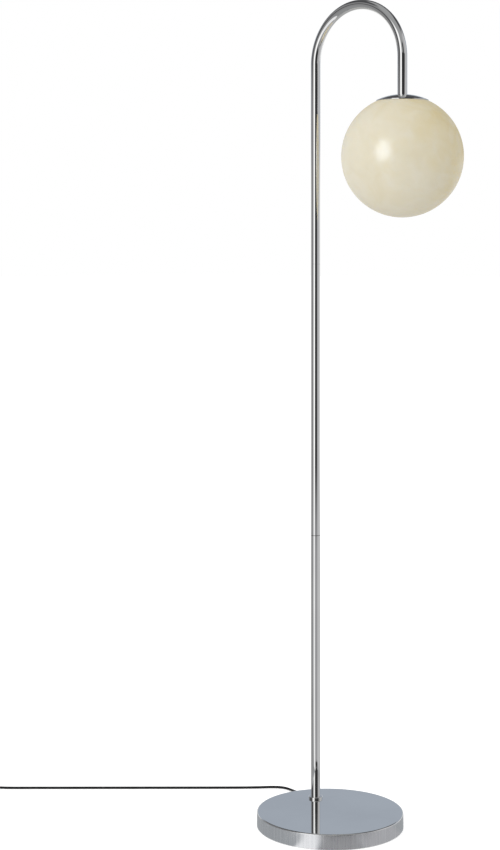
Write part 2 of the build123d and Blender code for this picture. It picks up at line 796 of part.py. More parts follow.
button_top = switch_height + button_rise
flange_top = boss_top - seat_gap
with BuildPart() as switch_button:
    with BuildSketch(on_switch(flange_top - button_flange_height)):
        Circle(button_diameter / 2 + button_flange)
    extrude(amount=button_flange_height)
    with BuildSketch(on_switch(flange_top)):
        Circle(button_diameter / 2)
    extrude(amount=button_top - flange_top)
    fillet(switch_button.faces().sort_by(Axis.Z)[-1].edges(), button_edge)
    with BuildSketch(on_switch(flange_top - button_flange_height)):
        Circle(button_socket / 2)
    extrude(amount=button_top - button_crown - flange_top + button_flange_height, mode=Mode.SUBTRACT)
save(switch_button, "switch_button")

block_top = switch_wall + block_height
with BuildPart() as switch_block:
    with BuildSketch(on_switch(switch_wall)):
        Rectangle(block_length, block_width)
    extrude(amount=block_height)
save(switch_block, "switch_block")

spring_low = block_top + switch_spring_wire / 2 + floor_gap
spring_high = button_top - button_crown - switch_spring_wire / 2 - glass_gap


def switch_spring_place(turn):
    """Point on the switch spring's helix."""
    angle = 2 * pi * turn
    radius = switch_spring_diameter / 2
    height = spring_low + (spring_high - spring_low) * turn / switch_spring_turns
    return on_switch(height).from_local_coords(Vector(radius * cos(angle), radius * sin(angle), 0))


def wound_wire(place, turns, wire_diameter, name, lead_in=None, lead_out=None):
    """One unbroken wire through the quarter points of a winding, with straight ends where given."""
    points, ways = wound_points(place, turns)
    with BuildPart() as wire:
        with BuildLine() as path:
            if lead_in:
                ways[0] = lead_in
                Line(points[0] - lead_in * wire_diameter, points[0])
            if lead_out:
                ways[-1] = lead_out
            for step in range(len(points) - 1):
                biarc(points[step], ways[step], points[step + 1], ways[step + 1])
            if lead_out:
                Line(points[-1], points[-1] + lead_out * wire_diameter)
        middle = path.wire()
        with BuildSketch(Plane(origin=middle @ 0, z_dir=middle % 0)):
            Circle(wire_diameter / 2)
        sweep(path=middle)
    expected = pi * wire_diameter**2 / 4 * middle.length
    print(f"{name}: {middle.length:.0f} mm long, least gap to itself"
          f" {least_gap(middle, wire_diameter, middle.length / turns):.2f} mm,"
          f" volume {wire.part.volume / expected:.4f} of section times length")
    save(wire, name)


wound_wire(switch_spring_place, switch_spring_turns, switch_spring_wire, "switch_spring")

with BuildPart() as switch_screws:
    with BuildSketch(on_switch(screw_recess)):
        with Locations(*boss_places):
            Circle(screw_head / 2)
    extrude(amount=screw_head_depth)
    with BuildSketch(on_switch(screw_recess + screw_head_depth)):
        with Locations(*boss_places):
            Circle(screw_shank / 2)
    extrude(amount=screw_length - screw_head_depth)
save(switch_screws, "switch_screws")

# Put-away length: link from the switch, round coil of two layers with its tie, tail and plug
coil_outer = coil_inner + coil_pitch * coil_turns / 2
coil_low = coil_lift + cord_radius
coil_middle = switch_offset - coil_outer
run_way = Vector(floor_run.x_dir)
cord_tube(
    [
        on_floor(switch_middle + block_length / 2, switch_offset, switch_split),
        on_floor(switch_end + switch_lead_out, switch_offset, switch_split),
        on_floor(coil_start - cord_diameter - coil_lead_in, switch_offset, coil_low),
        on_floor(coil_start - cord_diameter, switch_offset, coil_low),
    ],
    "cord_link",
)


def coil_place(turn):
    """Point on the coil: spirals in on the floor, climbs in the half turn where it reverses, spirals out."""
    half = coil_turns / 2
    angle = pi / 2 - 2 * pi * turn
    radius = coil_inner + coil_pitch * abs(turn - half)
    climb = min(max(2 * (turn - half) + 0.5, 0), 1)
    height = coil_low + coil_pitch * (1 - cos(pi * climb)) / 2
    return on_floor(coil_start + radius * cos(angle), coil_middle + radius * sin(angle), height)


wound_wire(coil_place, coil_turns, cord_diameter, "cord_coil", run_way, -run_way)

with BuildPart() as cord_tie:
    bundle_width = coil_outer - coil_inner + cord_diameter + 2 * tie_gap
    bundle_height = coil_pitch + cord_diameter + 2 * tie_gap
    tie_way = Vector(run_way).rotate(Axis.Z, tie_angle)
    tie_plane = Plane(
        on_floor(coil_start, coil_middle, coil_lift + (coil_pitch + cord_diameter) / 2),
        x_dir=tie_way,
        z_dir=tie_way.cross(Vector(0, 0, 1)),
    )
    with BuildSketch(tie_plane):
        with Locations(((coil_inner + coil_outer) / 2, 0)):
            RectangleRounded(bundle_width + 2 * tie_thickness, bundle_height + 2 * tie_thickness, tie_corner)
            Rectangle(bundle_width, bundle_height, mode=Mode.SUBTRACT)
    extrude(amount=tie_width / 2, both=True)
save(cord_tie, "cord_tie")

plug_axis_z = plug_front_height / 2
tail_beside = coil_middle - coil_outer
tail_start_along = coil_start - cord_diameter
plug_rear_along = tail_start_along - tail_length
cord_tube(
    [
        on_floor(tail_start_along, tail_beside, coil_low + coil_pitch),
        on_floor(tail_start_along - tail_length / 3, tail_beside, coil_low + coil_pitch),
        on_floor(plug_rear_along + tail_length / 3, tail_beside, plug_axis_z),
        on_floor(plug_rear_along, tail_beside, plug_axis_z),
    ],
    "cord_tail",
)


def on_plug(along):
    """Plane across the plug's axis, this far from the end of its strain relief; local y is up."""
    return Plane(
        on_floor(plug_rear_along - along, tail_beside, plug_axis_z),
        x_dir=Vector(0, 0, 1).cross(-run_way),
        z_dir=-run_way,
    )


plug_corner = 0.45 * min(plug_rear_height, plug_front_height)
plug_face = plug_relief_length + plug_length
with BuildPart() as plug_body:
    with BuildSketch(on_plug(0)):
        Circle(plug_relief_end / 2)
    with BuildSketch(on_plug(plug_relief_length)):
        Circle(plug_relief_root / 2)
    loft()
    with BuildSketch(on_plug(plug_relief_length)):
        RectangleRounded(plug_rear_width, plug_rear_height, plug_corner)
    with BuildSketch(on_plug(plug_face - plug_front_length)):
        RectangleRounded(plug_front_width, plug_front_height, plug_corner)
    loft()
    with BuildSketch(on_plug(plug_face - plug_front_length)):
        RectangleRounded(plug_front_width, plug_front_height, plug_corner)
    extrude(amount=plug_front_length)
save(plug_body, "plug_body")

with BuildPart() as plug_pins:
    with BuildSketch(on_plug(plug_face)):
        with GridLocations(pin_spacing, 0, 2, 1):
            Circle(pin_diameter / 2)
    extrude(amount=pin_length)
    fillet(plug_pins.faces().filter_by(Axis(on_plug(0).origin, -run_way)).edges(), pin_round)
save(plug_pins, "plug_pins")
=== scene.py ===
# %% [markdown]
# # A floor lamp: arched chrome pole, weighted base and an opal glass globe
#
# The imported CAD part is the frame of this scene. Blender adds what the solids lack: surfaces smooth enough to
# mirror a studio, the lead as flexible lines, and finishes. Everything is in metres, in the CAD part's own
# frame: the origin is the middle of the base on the floor, +Z is up, and +X is the way the arch reaches.

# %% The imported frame
import json
import math

import bmesh
import bpy
import numpy as np
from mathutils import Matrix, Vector


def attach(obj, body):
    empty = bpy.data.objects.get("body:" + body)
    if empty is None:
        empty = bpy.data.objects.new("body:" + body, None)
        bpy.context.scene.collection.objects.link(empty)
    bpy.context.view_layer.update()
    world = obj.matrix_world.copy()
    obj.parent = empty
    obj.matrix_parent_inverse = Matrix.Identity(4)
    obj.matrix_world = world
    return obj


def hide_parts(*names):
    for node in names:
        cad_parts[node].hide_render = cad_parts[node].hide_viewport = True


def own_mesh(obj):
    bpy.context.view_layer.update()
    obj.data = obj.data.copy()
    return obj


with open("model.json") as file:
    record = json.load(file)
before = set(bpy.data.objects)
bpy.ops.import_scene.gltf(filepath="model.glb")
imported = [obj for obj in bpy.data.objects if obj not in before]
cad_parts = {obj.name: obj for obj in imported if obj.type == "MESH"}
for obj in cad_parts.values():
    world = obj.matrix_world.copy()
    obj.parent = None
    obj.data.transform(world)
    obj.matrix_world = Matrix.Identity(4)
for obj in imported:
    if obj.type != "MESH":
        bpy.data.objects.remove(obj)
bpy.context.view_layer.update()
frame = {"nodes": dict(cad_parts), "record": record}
cad_nodes = frame["nodes"]

# %% [markdown]
# ## The camera
#
# The photograph's camera stands level, a little under a metre above the floor, and sees the globe from below
# and the base from above. A level camera keeps the pole upright in the picture, so the framing comes from the
# lens shift instead of a tilt. Direction, distance and focal length were fitted to the photograph's outlines.

# %% Directions and new objects
MM = 0.001
ACROSS, DEEP, UP = np.eye(3)


def level_way(degrees):
    """Level direction at an angle from +X: its cosine along X, its sine along Y."""
    angle = math.radians(degrees)
    return np.array([math.cos(angle), math.sin(angle), 0.0])


def added(name, data):
    """A new object in the scene."""
    thing = bpy.data.objects.new(name, data)
    bpy.context.scene.collection.objects.link(thing)
    return thing


print("the arch reaches along", ACROSS)

# %% Camera
CAMERA_BEARING = 43.2  # how far the camera stands round from the lamp's front, in degrees
CAMERA_RIGHT = level_way(CAMERA_BEARING)
TOWARDS_CAMERA = np.cross(CAMERA_RIGHT, UP)
CAMERA_DISTANCE = 2.9036
CAMERA_HEIGHT = 0.9514
CAMERA_ASIDE = 0.1337  # the base's middle lies this far right of the picture's middle line

lens = bpy.data.cameras.new("photo_camera")
lens.sensor_width = 36.0
lens.lens = 73.65
lens.shift_y = -0.1988
camera = added("photo_camera", lens)
camera.location = TOWARDS_CAMERA * CAMERA_DISTANCE - CAMERA_RIGHT * CAMERA_ASIDE + UP * CAMERA_HEIGHT
camera.rotation_euler = (math.pi / 2, 0, math.radians(CAMERA_BEARING))
bpy.context.scene.camera = camera
print("camera at", [round(x, 3) for x in camera.location])

# %% [markdown]
# ## Sizes that the pieces share
#
# Each surface below is worked out from the lamp's own sizes, so they are written once here, as in the CAD
# source.

# %% Shared sizes
BASE_RADIUS = 122.0 * MM
BASE_HEIGHT = 25.5 * MM
COVER_WALL = 1.5 * MM
HOLE_RADIUS = 5.25 * MM  # in the base's top, the collar and the cap
TUBE_RADIUS = 8.0 * MM
TUBE_BORE = 6.8 * MM
FOOT_Z = BASE_HEIGHT + 1.2 * MM
LOWER_SEAM_Z = FOOT_Z + 447.9 * MM
UPPER_SEAM_Z = LOWER_SEAM_Z + 463.1 * MM
ARCH_Z = UPPER_SEAM_Z + 339.9 * MM
ARCH_RADIUS = 94.0 * MM
SEAT_Z = ARCH_Z - 62.3 * MM  # the stem's end, where the cap sits
EXIT_WAY = level_way(150.8)
EXIT_Z = 7.0 * MM
POLE = EXIT_WAY * 71.5 * MM
STEM = POLE + ACROSS * 2 * ARCH_RADIUS
ARCH_HUB = (POLE + STEM) / 2 + UP * ARCH_Z
CORD_RADIUS = 2.1 * MM
GLOBE_RADIUS = 100.0 * MM
GLASS_GAP = 0.3 * MM
CAP_WALL = 1.0 * MM
CAP_SEAT = 9.0 * MM
CAP_SPHERE = GLOBE_RADIUS + GLASS_GAP + CAP_WALL
GLOBE_Z = SEAT_Z - math.sqrt(CAP_SPHERE**2 - CAP_SEAT**2)
GLOBE_MIDDLE = STEM + UP * GLOBE_Z
print("globe middle at z", round(GLOBE_Z, 4), "stem at", STEM.round(4))

# %% [markdown]
# ## Finishes
#
# Real surfaces are never one flat colour. Chrome has faint polishing marks, cast iron has pores, mouldings
# have a fine texture. All of these are a fine grain with its own size, stretch and depth, so one node group
# makes the grain and each material uses it with its own values. A second group makes the slow, cloudy
# variation of handling marks and glass.

# %% Nodes and their inputs
def fill(tree, node, inputs):
    """Set a node's inputs: another node's output is linked, anything else is a value. Colours are opaque."""
    for label, value in inputs.items():
        socket = node.inputs[label]
        if isinstance(value, bpy.types.NodeSocket):
            tree.links.new(value, socket)
        elif socket.type == "RGBA":
            socket.default_value = (*value, 1)
        else:
            socket.default_value = value


def shader_node(tree, kind, inputs, **settings):
    """A shader node with its settings and its inputs."""
    node = tree.nodes.new("ShaderNode" + kind)
    for label, setting in settings.items():
        setattr(node, label, setting)
    fill(tree, node, inputs)
    return node


def ranged(tree, value, span, to=(0, 1)):
    """Number moved from one span of values to another."""
    ends = {"From Min": span[0], "From Max": span[1], "To Min": to[0], "To Max": to[1]}
    return shader_node(tree, "MapRange", {"Value": value, **ends}).outputs["Result"]


def mixed(tree, share, first, second, kind="RGBA"):
    """Colour, or with FLOAT number, that goes from a first to a second one by a share."""
    fields = {"Factor": share, "A": first, "B": second}
    return shader_node(tree, "Mix", fields, data_type=kind).outputs["Result"]


def bumped(tree, height, strength, distance):
    """Normal of a surface that a height raises by up to a distance."""
    fields = {"Height": height, "Strength": strength, "Distance": distance}
    return shader_node(tree, "Bump", fields).outputs["Normal"]


print("node helpers ready")


# %% Node groups for grain and clouds
def group_with(name, inputs):
    """A node group with the given inputs and one output, a mask."""
    tree = bpy.data.node_groups.new(name, "ShaderNodeTree")
    for label, value in inputs.items():
        kind = "NodeSocketVector" if isinstance(value, tuple) else "NodeSocketFloat"
        socket = tree.interface.new_socket(label, in_out="INPUT", socket_type=kind)
        socket.default_value = value
    tree.interface.new_socket("Mask", in_out="OUTPUT", socket_type="NodeSocketFloat")
    return tree, tree.nodes.new("NodeGroupInput").outputs, tree.nodes.new("NodeGroupOutput")


def make_grain_group():
    """Grain: noise on the position times a stretch, spread to the full range from 0 to 1."""
    start = {"Vector": (0, 0, 0), "Stretch": (1, 1, 1), "Scale": 500.0, "Detail": 3.0}
    tree, given, result = group_with("fine_grain", start)
    place = shader_node(tree, "VectorMath", {0: given["Vector"], 1: given["Stretch"]}, operation="MULTIPLY")
    fields = {"Vector": place.outputs[0], "Scale": given["Scale"], "Detail": given["Detail"]}
    noise = shader_node(tree, "TexNoise", fields).outputs["Fac"]
    fill(tree, result, {"Mask": ranged(tree, noise, (0.3, 0.7))})
    return tree


def make_cloud_group():
    """Clouds: noise on a position that a second, slower noise has pushed aside, so that it swirls."""
    tree, given, result = group_with("slow_clouds", {"Vector": (0, 0, 0), "Scale": 20.0, "Swirl": 0.02})
    slow = shader_node(tree, "TexNoise", {"Vector": given["Vector"], "Scale": 14.0}).outputs["Color"]
    push = shader_node(tree, "VectorMath", {0: slow, "Scale": given["Swirl"]}, operation="SCALE")
    moved = shader_node(tree, "VectorMath", {0: given["Vector"], 1: push.outputs[0]})
    fields = {"Vector": moved.outputs[0], "Scale": given["Scale"], "Detail": 4.0}
    noise = shader_node(tree, "TexNoise", fields).outputs["Fac"]
    fill(tree, result, {"Mask": ranged(tree, noise, (0.32, 0.68))})
    return tree


GRAIN = make_grain_group()
CLOUDS = make_cloud_group()
print("node groups:", GRAIN.name, CLOUDS.name)


# %% [markdown]
# Every finish here is built by the same few steps: clouds lead its tone between two colours, clouds and
# grain lead its roughness between two values, and the grain gives most of them a fine bump. What is the same
# all over a surface, such as metal or coat, is set on the shader itself.

# %% A finish from two tones, grain and clouds
def new_material(name):
    """A material with its tree of nodes, its shader and the position on the object."""
    material = bpy.data.materials.new(name)
    material.use_nodes = True
    tree = material.node_tree
    position = shader_node(tree, "TexCoord", {}).outputs["Object"]
    return material, tree, tree.nodes["Principled BSDF"], position


def mask_of(tree, group, position, **values):
    """The mask of a node group in a material, fed with the position and its own values."""
    return shader_node(tree, "Group", {"Vector": position, **values}, node_tree=group).outputs["Mask"]


def finish(name, tones, rough, grain, depth, clouds=20.0, stretch=(1, 1, 1), streaks=0.0, **sockets):
    """Clouds with a share of streaks lead the tone, clouds and grain the roughness, and grain the bump.

    Rough is the range of roughness, grain and clouds are scales, and depth is the bump's height in metres.
    """
    material, tree, shader, position = new_material(name)
    cloud = mask_of(tree, CLOUDS, position, Scale=clouds)
    fine = mask_of(tree, GRAIN, position, Scale=grain, Stretch=stretch)
    tone = mixed(tree, streaks, cloud, fine, "FLOAT") if streaks else cloud
    both = mixed(tree, 0.5, cloud, fine, "FLOAT")
    looks = {"Base Color": mixed(tree, tone, *tones), "Roughness": ranged(tree, both, (0, 1), rough)}
    if depth:
        looks["Normal"] = bumped(tree, fine, 0.5, depth)
    fill(tree, shader, looks)
    fill(tree, shader, {label.replace("_", " "): value for label, value in sockets.items()})
    return material


FINISHES = {
    "chrome": finish("polished_chrome", [(0.81, 0.81, 0.807), (0.868, 0.87, 0.862)], (0.02, 0.05), 900, 0,
                     clouds=9, Metallic=1.0),
    # painted shade: a dark finish that stands for the shadow in the groove between two tubes
    "groove_shade": finish("painted_groove_shade", [(0.05, 0.05, 0.05), (0.09, 0.088, 0.085)], (0.35, 0.55), 900, 0,
                          Metallic=0.6),
    "cast_weight": finish("cast_iron", [(0.030, 0.030, 0.032), (0.060, 0.058, 0.056)], (0.55, 0.8), 700, 4e-4,
                          Metallic=0.3),
    "felt": finish("felt", [(0.020, 0.020, 0.022), (0.040, 0.040, 0.043)], (0.85, 1.0), 1800, 6e-4,
                   Sheen_Weight=0.4),
    "zinc_steel": finish("zinc_plate", [(0.52, 0.53, 0.54), (0.66, 0.66, 0.65)], (0.22, 0.42), 1200, 2e-5,
                         clouds=60, Metallic=1.0),
    "spring_steel": finish("spring_steel", [(0.44, 0.45, 0.47), (0.56, 0.57, 0.59)], (0.16, 0.3), 1500, 1e-5,
                           stretch=(1, 1, 0.1), Metallic=1.0),
    "black_resin": finish("black_moulding", [(0.016, 0.016, 0.018), (0.024, 0.024, 0.026)], (0.26, 0.4),
                          2200, 3e-5),
    "black_button": finish("black_button", [(0.022, 0.022, 0.024), (0.030, 0.030, 0.032)], (0.3, 0.46),
                           2600, 5e-5),
    "white_ceramic": finish("white_moulding", [(0.76, 0.75, 0.71), (0.86, 0.85, 0.81)], (0.2, 0.34),
                            800, 1e-5),
    "brass": finish("plain_brass", [(0.66, 0.48, 0.20), (0.80, 0.62, 0.31)], (0.18, 0.32), 1300, 1e-5,
                    Metallic=1.0),
    "solder": finish("dull_solder", [(0.50, 0.50, 0.51), (0.64, 0.64, 0.65)], (0.3, 0.5), 900, 6e-5,
                     Metallic=1.0),
    "bulb_metal": finish("bulb_cap_sheet", [(0.66, 0.66, 0.65), (0.78, 0.78, 0.77)], (0.16, 0.3), 1200, 1e-5,
                         Metallic=1.0),
    "frosted_glass": finish("frosted_bulb", [(0.83, 0.83, 0.82), (0.88, 0.88, 0.87)], (0.22, 0.3), 1500, 5e-6,
                            Coat_Weight=0.2),
    "lead_black": finish("lead_sheath", [(0.010, 0.010, 0.011), (0.018, 0.018, 0.019)], (0.38, 0.54),
                         1600, 2e-5, Specular_IOR_Level=0.3),
    "soft_black": finish("soft_moulding", [(0.018, 0.018, 0.019), (0.028, 0.028, 0.029)], (0.45, 0.62),
                         2400, 5e-5),
    "nickel": finish("nickel_plate", [(0.62, 0.59, 0.53), (0.72, 0.69, 0.63)], (0.1, 0.2), 1400, 5e-6,
                     Metallic=1.0),
}
print(len(FINISHES), "finishes")

# %% [markdown]
# The cover's skirt is chromed over a spun wall, so it mirrors less sharply than the flat top: fine streaks
# run up and down it. Its grain is therefore stretched along Z, and it is rougher.

# %% Streaked chrome for the skirt
FINISHES["skirt_chrome"] = finish(
    "streaked_chrome", [(0.69, 0.70, 0.72), (0.87, 0.88, 0.89)], (0.20, 0.32), 420, 0,
    clouds=12, stretch=(1, 1, 0.02), streaks=0.8, Metallic=1.0,
)
print("skirt:", FINISHES["skirt_chrome"].name)

# %% [markdown]
# The globe is blown opal glass: an ivory layer under clear, shiny glass. The opal is uneven, with broad clouds
# and thin swirls. Its colour also runs from honey on one side to a paler ivory on the other, towards the lower
# left as the camera sees it: that run is painted light. All the gloss is in the clear layer, the shader's coat.
# Light enters the opal a little, which subsurface scattering gives.

# %% Opal glass
# painted light: the opal turns paler along this direction, towards the lower left as the camera sees it
PAINTED_LIGHT_WAY = np.array([-0.25, -0.85, -0.46])
HONEY, PALE_IVORY, SWIRL_IVORY = (0.70, 0.565, 0.28), (0.755, 0.70, 0.57), (0.79, 0.745, 0.635)


def make_opal():
    """Painted light from honey to pale ivory along one direction, stirred by broad clouds, then lightened by
    thin swirls.
    """
    material, tree, shader, position = new_material("ivory_opal_glass")
    broad = mask_of(tree, CLOUDS, position, Scale=4.0, Swirl=0.05)
    thin = mask_of(tree, CLOUDS, position, Scale=38.0, Swirl=0.09)
    # painted light: how far each point lies towards the paler, lit side
    along = shader_node(tree, "VectorMath", {0: position, 1: PAINTED_LIGHT_WAY}, operation="DOT_PRODUCT")
    middle = GLOBE_MIDDLE @ PAINTED_LIGHT_WAY
    ends = (middle - 0.9 * GLOBE_RADIUS, middle + 0.5 * GLOBE_RADIUS)
    painted_light_and_clouds = mixed(tree, 0.3, ranged(tree, along.outputs["Value"], ends), broad, "FLOAT")
    ground = mixed(tree, painted_light_and_clouds, HONEY, PALE_IVORY)
    swirls = ranged(tree, thin, (0, 1), (0.0, 0.4))
    looks = {
        "Base Color": mixed(tree, swirls, ground, SWIRL_IVORY),
        "Roughness": ranged(tree, broad, (0, 1), (0.16, 0.22)),
        "Normal": bumped(tree, broad, 0.3, 4e-5),
        "Subsurface Weight": 0.25,
        "Subsurface Scale": 0.012,
        "Subsurface Radius": (1.0, 0.8, 0.5),
        "Specular IOR Level": 0.0,
        "Coat Weight": 0.4,
        "Coat Roughness": 0.25,
        "Coat IOR": 1.7,
    }
    fill(tree, shader, looks)
    return material


FINISHES["opal_glass"] = make_opal()
print("opal:", FINISHES["opal_glass"].name)


# %% [markdown]
# ## Surfaces from grids
#
# Nearly every piece of this lamp was turned, drawn or moulded, so its surface is a row of rings: circles for
# what was turned, rounded rectangles for what was moulded. A grid of points, ring by ring, becomes quads
# between neighbouring rings. Rings that shrink to a point close a pole, and a grid whose last ring meets its
# first is a wall with thickness. Edges sharper than 40 degrees stay crisp.

# %% Grid to piece
SHARP_EDGE = math.radians(40)
SAME_POINT = 1e-7


def ring_mesh(name, grids, looped=False):
    """Mesh of quads between neighbouring rings of each grid of points (rings, points round, 3)."""
    points, quads, start = [], [], 0
    for grid in grids:
        rings, around = grid.shape[:2]
        index = start + np.arange(rings * around).reshape(rings, around)
        upper = index if looped else index[:-1]
        lower = np.roll(index, -1, axis=0) if looped else index[1:]
        corners = [upper, np.roll(upper, -1, axis=1), np.roll(lower, -1, axis=1), lower]
        quads.append(np.stack(corners, axis=-1).reshape(-1, 4))
        points.append(grid.reshape(-1, 3))
        start += rings * around
    mesh = bpy.data.meshes.new(name)
    mesh.from_pydata(np.concatenate(points).tolist(), [], np.concatenate(quads).tolist())
    return mesh


def declared(piece, body, nodes):
    """Attach a piece to the body that carries it, and hide the CAD nodes that it stands for."""
    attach(piece, body)
    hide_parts(*nodes)
    return piece


def piece_from_grid(name, grids, body, slot, nodes, looped=False):
    """Piece of one grid, or of a list of grids, with merged doubles and faces that point outwards."""
    mesh = ring_mesh(name, grids if isinstance(grids, list) else [grids], looped)
    edit = bmesh.new()
    edit.from_mesh(mesh)
    bmesh.ops.remove_doubles(edit, verts=edit.verts, dist=SAME_POINT)
    bmesh.ops.recalc_face_normals(edit, faces=edit.faces)
    edit.to_mesh(mesh)
    edit.free()
    mesh.polygons.foreach_set("use_smooth", np.ones(len(mesh.polygons), bool))
    mesh.set_sharp_from_angle(angle=SHARP_EDGE)
    mesh.materials.append(FINISHES[slot])
    piece = added(name, mesh)
    weighted = piece.modifiers.new("flat_faces_stay_flat", "WEIGHTED_NORMAL")
    weighted.keep_sharp = True
    print(f"{name}: {len(mesh.polygons)} faces, stands for {', '.join(nodes)}")
    return declared(piece, body, nodes)


print("pieces can be made from grids")


# %% Profiles and turned surfaces
def rounded_profile(corners, steps=6, closed=False):
    """Profile from corners (radius, height, rounding): a rounded one is an arc that touches both sides."""
    corners = np.array(corners, float)
    share = np.linspace(0, 1, steps + 1)[:, None]
    profile = []
    for place, (radius, height, rounding) in enumerate(corners):
        here = np.array([radius, height])
        if rounding == 0 or (not closed and place in (0, len(corners) - 1)):
            profile.append(here[None])
            continue
        back = corners[place - 1, :2] - here
        ahead = corners[(place + 1) % len(corners), :2] - here
        back, ahead = back / np.linalg.norm(back), ahead / np.linalg.norm(ahead)
        half = math.acos(np.clip(back @ ahead, -1, 1)) / 2
        turn = math.pi - 2 * half
        middle = here + (back + ahead) / np.linalg.norm(back + ahead) * rounding / math.sin(half)
        first = here + back * rounding / math.tan(half) - middle
        last = here + ahead * rounding / math.tan(half) - middle
        arc = first * np.sin((1 - share) * turn) + last * np.sin(share * turn)
        profile.append(middle + arc / math.sin(turn))
    return np.concatenate(profile)


def angles_round(around):
    """Even angles once round a circle."""
    return np.linspace(0, 2 * np.pi, around, endpoint=False)


def unit_rings(first, second, around):
    """Circles of radius 1: cosine times a first direction plus sine times a second, for each pair."""
    angle = angles_round(around)[:, None]
    return np.cos(angle) * np.expand_dims(first, -2) + np.sin(angle) * np.expand_dims(second, -2)


def turned(profile, middle, around=96, axes=(ACROSS, DEEP, UP)):
    """Surface of revolution: each profile point (radius, height) becomes a circle about the third axis."""
    ring = unit_rings(axes[0], axes[1], around)
    return middle + profile[:, 0, None, None] * ring + profile[:, 1, None, None] * axes[2]


def sphere_profile(radius, low, high, middle_z, steps):
    """Arc of a sphere's section by the angle from its lowest point: the sine outwards, the cosine down."""
    angle = np.linspace(low, high, steps)
    return np.stack([radius * np.sin(angle), middle_z - radius * np.cos(angle)], axis=-1)


def upper_angle(ring, sphere):
    """Angle from a sphere's lowest point to the ring of a given radius on its upper half."""
    return math.pi - math.asin(ring / sphere)


print("surface helpers ready")

# %% [markdown]
# ## The base cover
#
# One pressed and chromed sheet: a flat top, a soft edge and a skirt that stops just above the floor. The hole
# for the pole is off the middle, so the top is drawn from the hole's circle to the rim's: each ring's middle
# and radius move evenly from one to the other, which keeps the rings nested. The skirt is the same piece, and
# its faces get their own finish by their height.

# %% Base cover
COVER_EDGE = 2.2 * MM
COVER_LIFT = 1.0 * MM
COVER_LIP = 0.4 * MM
FLAT_RADIUS = BASE_RADIUS - 9.0 * MM
SKIRT_TOP = BASE_HEIGHT - 0.7 * COVER_EDGE  # part of the way round the soft edge


def cover_grid():
    """Rings of hole, top, edge and skirt, and back inside, whose middle slides across the flat parts."""
    inner, under = BASE_RADIUS - COVER_WALL, BASE_HEIGHT - COVER_WALL
    wall = rounded_profile(
        [
            (FLAT_RADIUS, BASE_HEIGHT, 0),
            (BASE_RADIUS, BASE_HEIGHT, COVER_EDGE),
            (BASE_RADIUS, COVER_LIFT, COVER_LIP),
            (inner, COVER_LIFT, COVER_LIP),
            (inner, under, COVER_EDGE - COVER_WALL),
            (FLAT_RADIUS, under, 0),
        ],
        steps=8,
    )
    share = np.linspace(0, 1, 6)[1:-1]
    across = HOLE_RADIUS + (FLAT_RADIUS - HOLE_RADIUS) * share
    radius = np.concatenate([[HOLE_RADIUS], across, wall[:, 0], across[::-1], [HOLE_RADIUS]])
    top = np.full(len(share) + 1, BASE_HEIGHT)
    height = np.concatenate([top, wall[:, 1], top - COVER_WALL])
    off = np.concatenate([[1], 1 - share, np.zeros(len(wall)), 1 - share[::-1], [1]])
    return turned(np.stack([radius, height], axis=-1), off[:, None, None] * POLE, 192)


def second_finish(piece, slot, low, high):
    """Give another finish to the faces whose middles lie between two heights."""
    faces = piece.data.polygons
    middles = np.empty((len(faces), 3), np.float32)
    faces.foreach_get("center", middles.ravel())
    chosen = (middles[:, 2] > low) & (middles[:, 2] < high)
    piece.data.materials.append(FINISHES[slot])
    faces.foreach_set("material_index", chosen.astype(np.int32))
    print(f"{piece.name}: {chosen.sum()} faces in {slot}")


cover = piece_from_grid("cover", cover_grid(), "lamp", "chrome", ["base_cover"], looped=True)
second_finish(cover, "skirt_chrome", 0, SKIRT_TOP)

# %% [markdown]
# ## Foot collar and pole
#
# A small turned collar hides the hole. The pole is three lengths of chromed tube; where two meet, their ends
# are turned down a little. In the photograph the lower groove is a fine dark line and the upper one is hardly
# seen, so the lower one has a dark finish of its own: painted shade in the groove.

# %% Collar
COLLAR_RADIUS = 12.0 * MM
COLLAR_BORE = TUBE_RADIUS + 0.1 * MM
COLLAR_TOP = BASE_HEIGHT + 3.6 * MM
collar_profile = rounded_profile(
    [
        (COLLAR_BORE, FOOT_Z, 0),
        (COLLAR_BORE, COLLAR_TOP, 0.2 * MM),
        (COLLAR_RADIUS, COLLAR_TOP, 0.9 * MM),
        (COLLAR_RADIUS, BASE_HEIGHT, 0.15 * MM),
        (HOLE_RADIUS, BASE_HEIGHT, 0),
        (HOLE_RADIUS, FOOT_Z, 0),
    ],
    closed=True,
)
piece_from_grid("collar", turned(collar_profile, POLE), "lamp", "chrome", ["foot_collar"], looped=True)

# %% Straight tubes
FOOT_TURNED = 0.05 * MM
TURNED_DOWN = 0.4 * MM


def tube_profile(low, high, low_turned, high_turned):
    """Wall of a straight tube, its outer edges turned down where it meets another tube."""
    return np.array(
        [
            (TUBE_BORE, low),
            (TUBE_RADIUS - low_turned, low),
            (TUBE_RADIUS, low + low_turned),
            (TUBE_RADIUS, high - high_turned),
            (TUBE_RADIUS - high_turned, high),
            (TUBE_BORE, high),
        ]
    )


for name, node_name, low, high, low_turned in (
    ("tube_lower", "lower_pole", FOOT_Z, LOWER_SEAM_Z, FOOT_TURNED),
    ("tube_middle", "middle_pole", LOWER_SEAM_Z, UPPER_SEAM_Z, TURNED_DOWN),
):
    tube_grid = turned(tube_profile(low, high, low_turned, TURNED_DOWN), POLE, 64)
    tube = piece_from_grid(name, tube_grid, "lamp", "chrome", [node_name], looped=True)
    # painted shade on the turned-down faces at the lower seam
    second_finish(tube, "groove_shade", LOWER_SEAM_Z - TURNED_DOWN, LOWER_SEAM_Z + TURNED_DOWN)

# %% [markdown]
# The top tube is bent into a half circle and comes down again as a short stem. Its surface is a circle
# carried along that path: up, round and down, first for the outside, then back for the bore.

